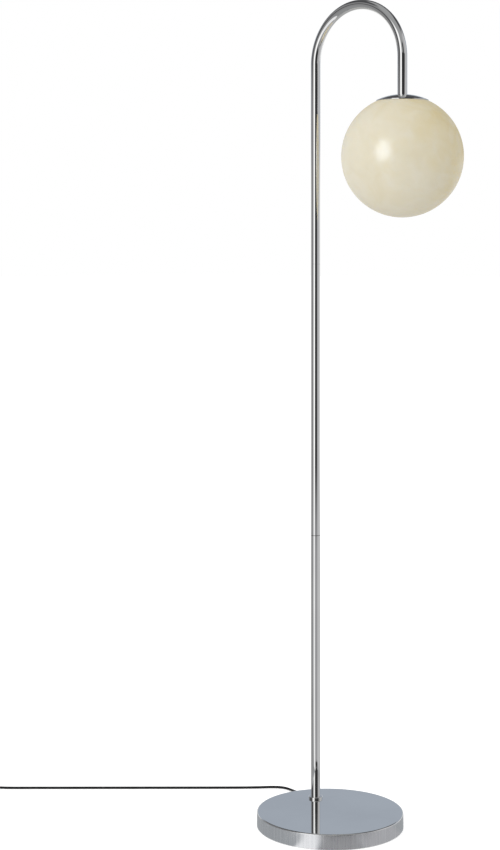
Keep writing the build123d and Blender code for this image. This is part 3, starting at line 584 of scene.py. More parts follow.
# %% Arched tube
def arch_path(steps=72):
    """Middle line of the arched tube and its direction: a straight, a half circle and a straight."""
    bend = np.linspace(np.pi, 0, steps + 1)[:, None]
    curve = ARCH_HUB + ARCH_RADIUS * (np.cos(bend) * ACROSS + np.sin(bend) * UP)
    way = np.sin(bend) * ACROSS - np.cos(bend) * UP
    foot = POLE + UP * UPPER_SEAM_Z
    path = np.vstack([foot, foot + UP * TURNED_DOWN, curve, STEM + UP * SEAT_Z])
    return path, np.vstack([UP, UP, way, -UP])


def carried(path, way, radius, around=48):
    """Circle carried along a path in the arch's plane: each ring lies square to the path's direction."""
    rings = unit_rings(np.cross(way, DEEP), np.broadcast_to(DEEP, way.shape), around)
    return path[:, None] + np.broadcast_to(radius, len(path))[:, None, None] * rings


bend_path, bend_way = arch_path()
outside = np.full(len(bend_path), TUBE_RADIUS)
outside[0] -= TURNED_DOWN
bore_grid = carried(bend_path[::-1], bend_way[::-1], TUBE_BORE)
arch_grid = np.concatenate([carried(bend_path, bend_way, outside), bore_grid])
piece_from_grid("tube_arch", arch_grid, "lamp", "chrome", ["upper_pole"], looped=True)

# %% [markdown]
# ## Cap and globe
#
# The cap is part of a sphere that follows the glass with a hair's gap, flattened where the stem sits on it.
# The globe has no neck: an even wall round a sphere, cut off by a mouth whose edge was melted smooth. Both
# are turned surfaces, and the mouth's edge is a small arc between the outer and the inner sphere.

# %% Cap
CAP_RADIUS = 42.8 * MM
cap_inner = GLOBE_RADIUS + GLASS_GAP
cap_under = SEAT_Z - CAP_WALL
inner_seat = math.sqrt(cap_inner**2 - (cap_under - GLOBE_Z) ** 2)
cap_edge, cap_seat = upper_angle(CAP_RADIUS, CAP_SPHERE), upper_angle(CAP_SEAT, CAP_SPHERE)
inner_edge, inner_top = upper_angle(CAP_RADIUS, cap_inner), upper_angle(inner_seat, cap_inner)
cap_profile = np.concatenate(
    [
        sphere_profile(CAP_SPHERE, cap_edge, cap_seat, GLOBE_Z, 24),
        [(HOLE_RADIUS, SEAT_Z), (HOLE_RADIUS, cap_under)],
        sphere_profile(cap_inner, inner_top, inner_edge, GLOBE_Z, 24),
    ]
)
piece_from_grid("cap", turned(cap_profile, STEM, 128), "lamp", "chrome", ["shade_cap"], looped=True)

# %% Globe
GLASS_WALL = 3.0 * MM
MOUTH_RADIUS = 39.0 * MM
MOUTH_ROUND = 1.3 * MM
glass_inner = GLOBE_RADIUS - GLASS_WALL
mouth = MOUTH_RADIUS + MOUTH_ROUND
outer_arc = sphere_profile(GLOBE_RADIUS, 0, upper_angle(mouth, GLOBE_RADIUS), GLOBE_Z, 112)
inner_arc = sphere_profile(glass_inner, upper_angle(mouth, glass_inner), 0, GLOBE_Z, 48)
lip = np.linspace(0, 1, 10)[1:-1, None]
lip_arc = outer_arc[-1] * (1 - lip) + inner_arc[0] * lip - np.sin(lip * np.pi) * [MOUTH_ROUND, 0]
globe_profile = np.concatenate([outer_arc, lip_arc, inner_arc])
globe = piece_from_grid("globe", turned(globe_profile, STEM, 192), "globe", "opal_glass", ["glass_globe"])

# %% [markdown]
# ## Lampholder and bulb
#
# They show when the glass is taken off. The holder is a black moulding with a ribbed shell. The bulb has a
# pear shaped glass and a screw cap; its thread is one formula, a radius that rises and falls with the height
# and turns with the angle, so that each turn climbs one pitch.

# %% Lampholder dome
HOLDER_Z = SEAT_Z - 7.6 * MM
CORE_Z = HOLDER_Z - 18.0 * MM
DOME_BORE, DOME_NECK, DOME_FOOT = 5.0 * MM, 8.5 * MM, 17.25 * MM
DOME_SIDE = 5.0 * MM  # length of the upright parts above and below the slope
DOME_INSIDE = DOME_FOOT - 1.6 * MM
dome_profile = rounded_profile(
    [
        (DOME_BORE, HOLDER_Z, 0),
        (DOME_NECK, HOLDER_Z, 0.5 * MM),
        (DOME_NECK, HOLDER_Z - DOME_SIDE, 2.0 * MM),
        (DOME_FOOT, CORE_Z + DOME_SIDE, 1.5 * MM),
        (DOME_FOOT, CORE_Z, 0),
        (DOME_INSIDE, CORE_Z, 0),
        (DOME_INSIDE, CORE_Z + 3.4 * MM, 0),
        (DOME_BORE, HOLDER_Z - 8.0 * MM, 0),
    ],
    closed=True,
)
dome_grid = turned(dome_profile, STEM, 64)
piece_from_grid("holder_top", dome_grid, "lamp", "black_resin", ["holder_dome"], looped=True)

# %% Lampholder shell
SHELL_TOP = CORE_Z + DOME_SIDE
SHELL_END = HOLDER_Z - 58.0 * MM
SHELL_FLOOR = SHELL_END + 2.0 * MM
SHELL_RADIUS, SHELL_BORE, SHELL_MOUTH = 19.0 * MM, 17.4 * MM, 13.5 * MM
RIBS, RIB_DEPTH, RIBS_BELOW, RIBS_LENGTH = 6, 0.5 * MM, 6.0 * MM, 18.0 * MM
rib_share = np.linspace(0, 1, 8 * RIBS + 1)
rib_radius = SHELL_RADIUS - RIB_DEPTH * (1 - np.cos(rib_share * 2 * np.pi * RIBS)) / 2
rib_height = SHELL_TOP - RIBS_BELOW - rib_share * RIBS_LENGTH
shell_profile = np.concatenate(
    [
        [(SHELL_BORE, SHELL_TOP), (SHELL_RADIUS - 0.6 * MM, SHELL_TOP), (SHELL_RADIUS, SHELL_TOP - 0.6 * MM)],
        np.stack([rib_radius, rib_height], axis=-1),
        [(SHELL_RADIUS, SHELL_END + 0.8 * MM), (SHELL_RADIUS - 0.8 * MM, SHELL_END)],
        [(SHELL_MOUTH, SHELL_END), (SHELL_MOUTH, SHELL_FLOOR), (SHELL_BORE, SHELL_FLOOR)],
    ]
)
shell_grid = turned(shell_profile, STEM, 64)
piece_from_grid("holder_body", shell_grid, "lamp", "black_resin", ["holder_shell"], looped=True)

# %% Bulb glass
BULB_CAP_Z = CORE_Z - 18.8 * MM
BULB_NECK_Z = BULB_CAP_Z - 25.0 * MM
BULB_FLARE = 42.0 * MM
BULB_BALL_Z = BULB_NECK_Z - BULB_FLARE
BULB_BALL, BULB_NECK = 30.0 * MM, 12.0 * MM
BULB_WALL = 1.0 * MM


def bulb_profile(inset):
    """Half a circle for the ball, then a flare that leaves it upright and ends upright at the neck."""
    ball, neck = BULB_BALL - inset, BULB_NECK - inset
    below = sphere_profile(ball, 0, np.pi / 2, BULB_BALL_Z, 40)
    share = np.linspace(0, 1, 30)[1:]
    ease = share**2 * (3 - 2 * share)
    flare = np.stack([ball + (neck - ball) * ease, BULB_BALL_Z + share * BULB_FLARE], axis=-1)
    return np.concatenate([below, flare, [(neck, BULB_NECK_Z + 6.0 * MM)]])


bulb_wall = np.concatenate([bulb_profile(0), bulb_profile(BULB_WALL)[::-1]])
piece_from_grid("bulb_envelope", turned(bulb_wall, STEM), "bulb", "frosted_glass", ["bulb_glass"])

# %% Bulb cap
THREAD_CREST, THREAD_DEPTH, THREAD_PITCH = 13.1 * MM, 1.0 * MM, 3.6 * MM
CAP_INSIDE = THREAD_CREST - THREAD_DEPTH - 0.3 * MM
PLAIN_FOOT, FOOT_INSET = 3.0 * MM, 0.6 * MM
CROWN_HEIGHT, CROWN_RADIUS, CROWN_WALL = 6.0 * MM, 5.4 * MM, 1.6 * MM
SHOULDER_INSET, SHOULDER_DROP = 1.6 * MM, 4.2 * MM


def bulb_cap_grid(steps=80, around=96):
    """Screw cap: radius = crest - depth (1 - cos(2 pi height / pitch - angle)) / 2 on the threaded length."""
    under_z, thread_z = BULB_CAP_Z - CROWN_WALL, BULB_CAP_Z - CROWN_HEIGHT
    height = np.linspace(BULB_NECK_Z + PLAIN_FOOT, thread_z, steps)
    foot = [(CAP_INSIDE, BULB_NECK_Z), (THREAD_CREST - FOOT_INSET, BULB_NECK_Z)]
    shoulder = (THREAD_CREST - SHOULDER_INSET, BULB_CAP_Z - SHOULDER_DROP)
    crown = [shoulder, (CROWN_RADIUS, BULB_CAP_Z), (0, BULB_CAP_Z)]
    under = [(0, under_z), (CROWN_RADIUS - 0.4 * MM, under_z), (CAP_INSIDE, thread_z)]
    threaded = np.stack([np.full(steps, THREAD_CREST), height], axis=-1)
    grid = turned(np.concatenate([foot, threaded, crown, under, foot[:1]]), STEM, around)
    wave = (1 - np.cos(2 * np.pi * height[:, None] / THREAD_PITCH - angles_round(around))) / 2
    fade = np.minimum(1, np.minimum(height - height[0], height[-1] - height) / THREAD_PITCH)
    depth = THREAD_DEPTH * wave * fade[:, None]
    grid[len(foot):len(foot) + steps] -= depth[..., None] * unit_rings(ACROSS, DEEP, around)
    return grid


piece_from_grid("bulb_screw", bulb_cap_grid(), "bulb", "bulb_metal", ["bulb_cap"])

# %% [markdown]
# ## The lead
#
# The lead leaves the base at its back through a ribbed bushing, drops to the floor, turns a quarter and runs
# straight out of the picture. What the photograph doesn't show is put away beside it: a foot switch, a neat
# round coil with a tie, and the plug. A lead is a smooth line under its own stiffness, so it is a curve that
# control points lead, and they are those of the CAD route, given along and beside its straight stretch.

# %% Lead along the floor
RUN_BEARING = 223.2
RUN_WAY = level_way(RUN_BEARING)
RUN_SIDE = np.cross(UP, RUN_WAY)
SWITCH_START, SWITCH_ASIDE, SWITCH_SPLIT = 612.0, -200.2, 4.6
SWITCH_LONG, SWITCH_WIDE = 76.0, 34.0
SWITCH_MIDDLE = SWITCH_START + SWITCH_LONG / 2
INTO_SWITCH = 13.0  # the lead ends this far from the switch's middle, at both its ends
COIL_START = 730.0
LYING = 2.2  # height of the lead's middle where it lies on the floor
LEAD_EXIT = EXIT_WAY * 148 * MM + UP * EXIT_Z


def on_floor(along, beside, height):
    """Point in metres from millimetres along and beside the straight stretch, and above the floor."""
    return (RUN_WAY * along + RUN_SIDE * beside + UP * height) * MM


def lead_curve(name, points, nodes):
    """Round lead on one open spline of order 3, led by the given control points."""
    curve = bpy.data.curves.new(name, "CURVE")
    curve.dimensions = "3D"
    curve.bevel_depth = CORD_RADIUS
    curve.bevel_resolution = 5
    curve.use_fill_caps = True
    spline = curve.splines.new("NURBS")
    spline.points.add(len(points) - 1)
    spline.points.foreach_set("co", np.c_[points, np.ones(len(points))].ravel())
    spline.order_u = 3
    spline.use_endpoint_u = True
    spline.resolution_u = 8
    curve.materials.append(FINISHES["lead_black"])
    print(f"{name}: {len(points)} control points")
    return declared(added(name, curve), "lamp", nodes)


floor_points = np.array(
    [
        LEAD_EXIT,
        LEAD_EXIT + EXIT_WAY * 17 * MM,
        on_floor(54.4, -171.5, 5.0),
        on_floor(60.4, -187.0, 2.7),
        on_floor(71.3, -201.5, LYING),
        on_floor(89.8, -206.2, LYING),
        on_floor(117.7, -203.0, LYING),
        on_floor(165.5, -201.3, LYING),
        on_floor(518.5, -200.6, LYING),
        on_floor(577.0, SWITCH_ASIDE, LYING),
        on_floor(SWITCH_START - 14.0, SWITCH_ASIDE, SWITCH_SPLIT),
        on_floor(SWITCH_MIDDLE - INTO_SWITCH, SWITCH_ASIDE, SWITCH_SPLIT),
    ]
)
lead_floor = lead_curve("lead_floor", floor_points, ["cord_run"])

# %% [markdown]
# The coil lies in two layers: it spirals inwards on the floor, climbs in half a turn where it is narrowest,
# and spirals outwards on top. An order 3 spline stays a little inside its control points, so their radius is
# enlarged by that share.

# %% Lead from the switch, coil and tail
COIL_INNER, COIL_PITCH, COIL_TURNS = 16.6, 4.7, 7.5
COIL_OUTER = COIL_INNER + COIL_PITCH * COIL_TURNS / 2
COIL_ASIDE = SWITCH_ASIDE - COIL_OUTER
COIL_LOW = 3.2
COIL_HIGH = COIL_LOW + COIL_PITCH
POINTS_A_TURN = 16
TAIL = 32.0
TAIL_START = COIL_START - 4.2  # one lead's width before the coil's middle
TAIL_ASIDE = COIL_ASIDE - COIL_OUTER
PLUG_REAR = TAIL_START - TAIL
PLUG_Z = 6.85


def coil_points():
    """Spiral in, climb by half a cosine in the half turn round the middle, spiral out."""
    turn = np.arange(1, round(COIL_TURNS * POINTS_A_TURN)) / POINTS_A_TURN
    half = COIL_TURNS / 2
    angle = np.pi / 2 - 2 * np.pi * turn
    inside = 0.75 + 0.25 * math.cos(2 * np.pi / POINTS_A_TURN)
    radius = (COIL_INNER + COIL_PITCH * abs(turn - half)) / inside
    climb = np.clip(2 * (turn - half) + 0.5, 0, 1)
    height = COIL_LOW + COIL_PITCH * (1 - np.cos(np.pi * climb)) / 2
    spots = zip(COIL_START + radius * np.cos(angle), COIL_ASIDE + radius * np.sin(angle), height)
    return [on_floor(*spot) for spot in spots]


put_away_points = np.array(
    [
        on_floor(SWITCH_MIDDLE + INTO_SWITCH, SWITCH_ASIDE, SWITCH_SPLIT),
        on_floor(694.0, SWITCH_ASIDE, SWITCH_SPLIT),
        on_floor(TAIL_START - 16.0, SWITCH_ASIDE, COIL_LOW),
        on_floor(TAIL_START, SWITCH_ASIDE, COIL_LOW),
        *coil_points(),
        on_floor(TAIL_START, TAIL_ASIDE, COIL_HIGH),
        on_floor(TAIL_START - TAIL / 3, TAIL_ASIDE, COIL_HIGH),
        on_floor(PLUG_REAR + TAIL / 3, TAIL_ASIDE, PLUG_Z),
        on_floor(PLUG_REAR, TAIL_ASIDE, PLUG_Z),
    ]
)
lead_coil = lead_curve("lead_coil", put_away_points, ["cord_link", "cord_coil", "cord_tail"])

# %% [markdown]
# Inside the lamp, the same lead runs from the lampholder over the arch, down the pole and round a small bend
# to the bushing. Over the arch its control points are the corners of a polygon whose sides touch the tube's
# middle line, so the smooth line stays in the middle of the bore.

# %% Lead inside the lamp
def inside_points(sides=8):
    """Up the stem, round the arch's polygon, down the pole, one corner towards the exit, and out."""
    corner = ((np.arange(sides) + 0.5) * np.pi / sides)[:, None]
    reach = ARCH_RADIUS / math.cos(np.pi / sides / 2)
    over = ARCH_HUB + reach * (np.cos(corner) * ACROSS + np.sin(corner) * UP)
    stem = [STEM + UP * z for z in (CORE_Z, ARCH_Z)]
    pole = [POLE + UP * z for z in (ARCH_Z, 40.0 * MM, 22.0 * MM, EXIT_Z)]
    return np.array([*stem, *over, *pole, POLE + EXIT_WAY * 15 * MM + UP * EXIT_Z, LEAD_EXIT])


lead_curve("lead_inside", inside_points(), ["inner_lead"])

# %% [markdown]
# The bushing is soft and ribbed so that the lead can't be bent sharply at the skirt. It is turned about the
# lead's own axis, so its rings stand upright and are laid along the exit.

# %% Bushing
FLANGE_RADIUS, FLANGE_THICK, NECK_RADIUS = 5.8 * MM, 2.0 * MM, 4.2 * MM
RELIEF_START, RELIEF_END, RELIEF_LENGTH = 4.7 * MM, 3.2 * MM, 24.0 * MM
RELIEF_RIBS, RELIEF_RIB_DEPTH = 5, 0.7 * MM


def bushing_profile():
    """Inner flange, neck, outer flange and a tapering relief whose ribs are a cosine along it."""
    bore = CORD_RADIUS + 0.15 * MM
    inner = BASE_RADIUS - COVER_WALL - 0.3 * MM
    outer = BASE_RADIUS + FLANGE_THICK
    head = rounded_profile(
        [
            (bore, inner - FLANGE_THICK, 0),
            (FLANGE_RADIUS, inner - FLANGE_THICK, 0.3 * MM),
            (FLANGE_RADIUS, inner, 0.2 * MM),
            (NECK_RADIUS, inner, 0),
            (NECK_RADIUS, BASE_RADIUS, 0),
            (FLANGE_RADIUS, BASE_RADIUS, 0.2 * MM),
            (FLANGE_RADIUS, outer, 0.6 * MM),
            (RELIEF_START, outer, 0),
        ]
    )
    share = np.linspace(0, 1, 12 * RELIEF_RIBS + 1)
    ribs = RELIEF_RIB_DEPTH * (1 - np.cos(share * 2 * np.pi * RELIEF_RIBS)) / 2
    relief = RELIEF_START + (RELIEF_END - RELIEF_START) * share - ribs
    along = np.stack([relief, outer + RELIEF_LENGTH * share], axis=-1)
    return np.concatenate([head, along, [(bore, outer + RELIEF_LENGTH)]])


exit_axes = (np.cross(UP, EXIT_WAY), UP, EXIT_WAY)
bushing_grid = turned(bushing_profile(), UP * EXIT_Z, 48, exit_axes)
piece_from_grid("bushing", bushing_grid, "lamp", "soft_black", ["cord_bushing"], looped=True)

# %% [markdown]
# ## Foot switch
#
# Two moulded shells that meet at the lead's height, a round button and its spring. Their outlines are
# rounded rectangles; the lid's top is drawn from its outline to the button's hole, as the base's top is from
# its hole. These pieces and the plug are given in millimetres, like the lead's route.

# %% Rings for moulded pieces
def rounded_ring(width, depth, corner, around=64):
    """Rounded rectangle: four quarter circles about the corners' middles, with as many points on each."""
    quarter = np.linspace(0, np.pi / 2, around // 4)
    angle = np.concatenate([quarter + turn * np.pi / 2 for turn in range(4)])
    sign = np.repeat([[1, 1], [-1, 1], [-1, -1], [1, -1]], around // 4, axis=0)
    arcs = corner * np.stack([np.cos(angle), np.sin(angle)], axis=-1)
    return sign * [width / 2 - corner, depth / 2 - corner] + arcs


def moulded(sections, spot, axes):
    """Rings (width, depth, corner, height) in millimetres, set at a spot along three directions."""
    rings = []
    for width, depth, corner, height in sections:
        ring = rounded_ring(width, depth, corner)
        rings.append(spot + (ring[:, :1] * axes[0] + ring[:, 1:] * axes[1] + height * axes[2]) * MM)
    return np.stack(rings)


def disc_section(radius, height):
    """A round section."""
    return (2 * radius, 2 * radius, radius, height)


def rounded_edge(radius):
    """Quarter circle from a side to a flat end: radius (1 - cos) inwards, radius (1 - sin) below the end."""
    angle = np.linspace(0, np.pi / 2, 9)
    return list(zip(radius * (1 - np.cos(angle)), radius * (1 - np.sin(angle))))


SWITCH_SPOT = on_floor(SWITCH_MIDDLE, SWITCH_ASIDE, 0)
SWITCH_AXES = (RUN_WAY, RUN_SIDE, UP)


def switch_section(inset, height):
    """The switch's outline, drawn in by an inset."""
    return (SWITCH_LONG - 2 * inset, SWITCH_WIDE - 2 * inset, SWITCH_WIDE / 2 - inset, height)


print("switch at", SWITCH_SPOT.round(3))

# %% Switch tray
SWITCH_WALL, SPLIT_BEVEL = 2.0, 0.25
TRAY_ROUND, TRAY_FLAT = 1.2, 12.0
tray_edge = rounded_edge(TRAY_ROUND)[::-1]
tray_wall = [
    (0, SWITCH_SPLIT - SPLIT_BEVEL),
    (SPLIT_BEVEL, SWITCH_SPLIT),
    (SWITCH_WALL, SWITCH_SPLIT),
    (SWITCH_WALL, SWITCH_WALL),
    (TRAY_FLAT, SWITCH_WALL),
]
tray = [switch_section(*spot) for spot in [(TRAY_FLAT, 0), *tray_edge, *tray_wall]]
tray_grid = moulded([disc_section(0, 0), *tray, disc_section(0, SWITCH_WALL)], SWITCH_SPOT, SWITCH_AXES)
switch_tray = piece_from_grid("switch_tray", tray_grid, "lamp", "black_resin", ["switch_base"])

# %% Switch lid
LID_TOP, LID_ROUND = 18.0, 4.5
BUTTON_HOLE = 11.4
LID_UNDER, LID_INNER = LID_TOP - SWITCH_WALL, LID_ROUND - SWITCH_WALL
BETWEEN = (46.0, 25.0, 12.4)  # a ring about half way from the outline's ends to the hole
lid = [
    switch_section(SWITCH_WALL, SWITCH_SPLIT),
    switch_section(SPLIT_BEVEL, SWITCH_SPLIT),
    switch_section(0, SWITCH_SPLIT + SPLIT_BEVEL),
    *(switch_section(inset, LID_TOP - drop) for inset, drop in rounded_edge(LID_ROUND)),
    (*BETWEEN, LID_TOP),
    disc_section(BUTTON_HOLE + 0.8, LID_TOP),
    disc_section(BUTTON_HOLE + 0.2, LID_TOP - 0.2),
    disc_section(BUTTON_HOLE, LID_TOP - 0.6),
    disc_section(BUTTON_HOLE, LID_UNDER),
    (*BETWEEN, LID_UNDER),
    *(switch_section(SWITCH_WALL + inset, LID_UNDER - drop) for inset, drop in rounded_edge(LID_INNER)[::-1]),
]
lid_grid = moulded(lid, SWITCH_SPOT, SWITCH_AXES)
switch_lid = piece_from_grid("switch_lid", lid_grid, "lamp", "black_resin", ["switch_cover"], looped=True)

# %% Switch button
BUTTON_RADIUS, BUTTON_TOP, BUTTON_ROUND = 11.0, 22.5, 1.5
BUTTON_RIM, RIM_LOW, RIM_TOP = 12.6, 12.9, 15.9
WELL_RADIUS, WELL_TOP = 6.0, 19.9
DISH_RADIUS, DISH_DEPTH = 9.0, 0.7
press = [
    (0, WELL_TOP),
    (WELL_RADIUS, WELL_TOP),
    (WELL_RADIUS, RIM_LOW),
    (BUTTON_RIM, RIM_LOW),
    (BUTTON_RIM, RIM_TOP),
    (BUTTON_RADIUS, RIM_TOP),
    *((BUTTON_RADIUS - inset, BUTTON_TOP - drop) for inset, drop in rounded_edge(BUTTON_ROUND)),
]
for share in np.linspace(0, 1, 10):
    press.append((DISH_RADIUS * (1 - share), BUTTON_TOP - DISH_DEPTH * math.sin(share * math.pi / 2) ** 2))
press_grid = moulded([disc_section(*spot) for spot in press], SWITCH_SPOT, SWITCH_AXES)
switch_press = piece_from_grid("switch_press", press_grid, "button", "black_button", ["switch_button"])


# %% Switch spring
def spring_grid(turns=4.5, radius=4.5 * MM, wire=0.4 * MM, low=7.5 * MM, high=19.2 * MM, around=10):
    """A circle carried up a helix: the ring at each point is square to the helix's direction."""
    angle = np.linspace(0, 2 * np.pi * turns, round(turns * 24) + 1)[:, None]
    out = np.cos(angle) * RUN_WAY + np.sin(angle) * RUN_SIDE
    path = SWITCH_SPOT + out * radius + UP * np.linspace(low, high, len(angle))[:, None]
    across = np.cross(np.gradient(path, axis=0), out)
    across /= np.linalg.norm(across, axis=1, keepdims=True)
    ends = np.broadcast_to(path[[0, -1]][:, None], (2, around, 3))
    return np.concatenate([ends[:1], path[:, None] + wire * unit_rings(out, across, around), ends[1:]])


press_spring = piece_from_grid("press_spring", spring_grid(), "lamp", "spring_steel", ["switch_spring"])
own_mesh(press_spring)

# %% [markdown]
# ## Plug and tie
#
# The plug is one soft moulding: a strain relief like the bushing's, then a body that widens towards the two
# pins, with shallow grip ribs on its flanks. A plain flat tie holds the coil together.

# %% Plug
PLUG_SPOT = on_floor(PLUG_REAR, TAIL_ASIDE, PLUG_Z)
PLUG_SIDE = np.cross(UP, -RUN_WAY)
PLUG_AXES = (PLUG_SIDE, UP, -RUN_WAY)
PLUG_CORNER = 4.5
NECK_WIDE, NECK_TALL, NECK_AT = 14.0, 10.0, 14.8
FACE_WIDE, FACE_TALL, FACE_AT = 35.0, 13.7, 52.0
REAR_RADIUS, REAR_GROWS, REAR_AT, REAR_LENGTH = 3.2, 1.1, 0.4, 13.0
REAR_RIBS, REAR_RIB_DEPTH = 4, 0.3
SWELL_LENGTH = 23.2
GRIP_RIBS, GRIP_DEPTH = 5, 0.7

plug = [disc_section(0, 0), disc_section(2.25, 0), disc_section(REAR_RADIUS - 0.2, 0)]
for share in np.linspace(0, 1, 41):
    rib = REAR_RIB_DEPTH * (1 - math.cos(share * 2 * math.pi * REAR_RIBS))
    plug.append(disc_section(REAR_RADIUS + REAR_GROWS * share - rib, REAR_AT + REAR_LENGTH * share))
plug.append((NECK_WIDE - 2.0, NECK_TALL - 0.6, PLUG_CORNER, NECK_AT - 0.8))
for share in np.linspace(0, 1, 33):
    swell = share * share * (3 - 2 * share)
    grip = GRIP_DEPTH * (1 - math.cos(share * 2 * math.pi * GRIP_RIBS)) * math.sin(share * math.pi)
    wide = NECK_WIDE + (FACE_WIDE - NECK_WIDE) * swell - grip
    tall = NECK_TALL + (FACE_TALL - NECK_TALL) * swell
    plug.append((wide, tall, PLUG_CORNER, NECK_AT + SWELL_LENGTH * share))
for inset, back in ((0, 0.6), (0.2, 0.2), (0.6, 0)):
    plug.append((FACE_WIDE - 2 * inset, FACE_TALL - 2 * inset, PLUG_CORNER - inset, FACE_AT - back))
plug.append(disc_section(0, FACE_AT))
plug_grid = moulded(plug, PLUG_SPOT, PLUG_AXES)
plug_shell = piece_from_grid("plug_shell", plug_grid, "lamp", "soft_black", ["plug_body"])

# %% Plug pins
PIN_RADIUS, PIN_ROUND, PIN_END = 2.0, 1.2, 71.0
PIN_ASIDE = 9.3
pin_tip = [(PIN_RADIUS - inset, PIN_END - drop) for inset, drop in rounded_edge(PIN_ROUND)]
pin = [(0, FACE_AT), (PIN_RADIUS, FACE_AT), *pin_tip, (0, PIN_END)]
pin_rings = [disc_section(*spot) for spot in pin]
pin_spots = [PLUG_SPOT + PLUG_SIDE * aside * MM for aside in (-PIN_ASIDE, PIN_ASIDE)]
pin_grids = [moulded(pin_rings, spot, PLUG_AXES) for spot in pin_spots]
plug_prongs = piece_from_grid("plug_prongs", pin_grids, "lamp", "nickel", ["plug_pins"])

# %% Tie
TIE_BEARING = RUN_BEARING + 25.0
TIE_WIDE, TIE_THICK, TIE_TALL, TIE_Z = 5.0, 0.7, 9.5, 5.55
TIE_CORNER = 0.8
TIE_SPAN = COIL_OUTER - COIL_INNER + 4.8


def tie_grid():
    """Flat band round the bundle: four rounded rectangles, inner and outer, at both edges of the band."""
    out = level_way(TIE_BEARING)
    bundle = (COIL_INNER + COIL_OUTER) / 2
    spot = on_floor(COIL_START, COIL_ASIDE, TIE_Z) + out * bundle * MM
    inner = (TIE_SPAN, TIE_TALL, TIE_CORNER)
    outer = (TIE_SPAN + 2 * TIE_THICK, TIE_TALL + 2 * TIE_THICK, TIE_CORNER + TIE_THICK)
    near, far = -TIE_WIDE / 2, TIE_WIDE / 2
    loop = [(*inner, near), (*outer, near), (*outer, far), (*inner, far)]
    return moulded(loop, spot, (out, UP, np.cross(out, UP)))


band = piece_from_grid("tie_band", tie_grid(), "lamp", "soft_black", ["cord_tie"], looped=True)

# %% [markdown]
# The lead outside the lamp is drawn in two stretches: what the floor shows up to the switch, and the put-away
# rest from the switch to the plug.

# %% Leads drawn
print("leads drawn")

# %% [markdown]
# ## Finishes on the CAD pieces that stay
#
# Nuts, nipples, bushes, spacer, spring, weight and pad are right as solids. Each takes the finish of the slot
# that the record gives it.

# %% CAD pieces' finishes
slot_of = {part["node"]: part["material_slot"] for part in frame["record"]["subparts"]}
for node_name, node in cad_nodes.items():
    node.data.materials.clear()
    node.data.materials.append(FINISHES[slot_of[node_name]])
print("kept CAD pieces:", sum(not node.hide_render for node in cad_nodes.values()))

# %% [markdown]
# ## The studio
#
# Chrome shows its surroundings, so the room matters as much as the metal. A dome of cards stands round the
# lamp, seen only in reflections: a tall bright panel to the left of the camera, a dark room behind the
# camera, grey walls at the sides, and a blue-grey backdrop behind with a dark ceiling above it. Each card is
# a soft window in bearing and height, measured from the camera's direction, and the paint is stored on the
# dome's points. Low behind the lamp the dome is nearly as white as the background. A disc on the floor
# mirrors the same room: its colours are those that the base's skirt and the lower pole show.

# %% Soft windows
def window(value, low, high, soft):
    """1 between low and high, falling smoothly to 0 over the soft width outside them."""
    rise = np.clip((value - low + soft) / soft, 0, 1)
    fall = np.clip((high + soft - value) / soft, 0, 1)
    return rise**2 * (3 - 2 * rise) * fall**2 * (3 - 2 * fall)


def painted(colour, mask, tone):
    """Lay a tone over a colour where the mask is 1."""
    return colour * (1 - mask[..., None]) + np.array(tone) * mask[..., None]


print("half way down a soft edge a window is", window(5.0, 0, 4, 2))

# %% Colours of the cards
WALL_GREY = (0.36, 0.365, 0.37)
PANEL_WHITE = (1.2, 1.2, 1.2)
ROOM_DARK = (0.035, 0.035, 0.036)
SIDE_CARDS = [
    # whether both sides have it, its bearings and its heights with their soft widths, its tone
    (True, (118, 200, 12), (-5, 9, 4), (0.95, 0.95, 0.95)),  # white background
    (True, (105, 200, 15), (13, 27, 4), (0.387, 0.43, 0.494)),  # backdrop
    (True, (80, 200, 20), (33, 66, 6), (0.08, 0.08, 0.085)),  # ceiling above it
    (False, (-130, -66, 8), (-5, 40, 10), (0.27, 0.27, 0.275)),  # wall on the left
    (False, (-112, -62, 8), (16, 26, 4), (0.09, 0.09, 0.095)),  # dark stripe on that wall
    (False, (46, 70, 12), (-5, 40, 10), (0.46, 0.46, 0.47)),  # wall on the right
    (False, (80, 110, 10), (-5, 40, 10), (0.60, 0.60, 0.61)),  # its paler end
]


def card_colours(bearing, height):
    """Brightness of the studio by bearing from the camera (left is negative) and by height, in degrees."""
    colour = np.broadcast_to(WALL_GREY, (*bearing.shape, 3))
    for both_sides, bearings, heights, tone in SIDE_CARDS:
        side = np.abs(bearing) if both_sides else bearing
        colour = painted(colour, window(side, *bearings) * window(height, *heights), tone)
    low = window(bearing, -13, 33 + 17 * window(height, 14, 90, 3), 4) * window(height, -5, 18, 2)
    high = window(bearing, 10, 33, 4) * window(height, -5, 30, 8)
    colour = painted(colour, np.maximum(low, high), ROOM_DARK)
    return painted(colour, window(bearing, -50, -22, 4) * window(height, -5, 36, 8), PANEL_WHITE)


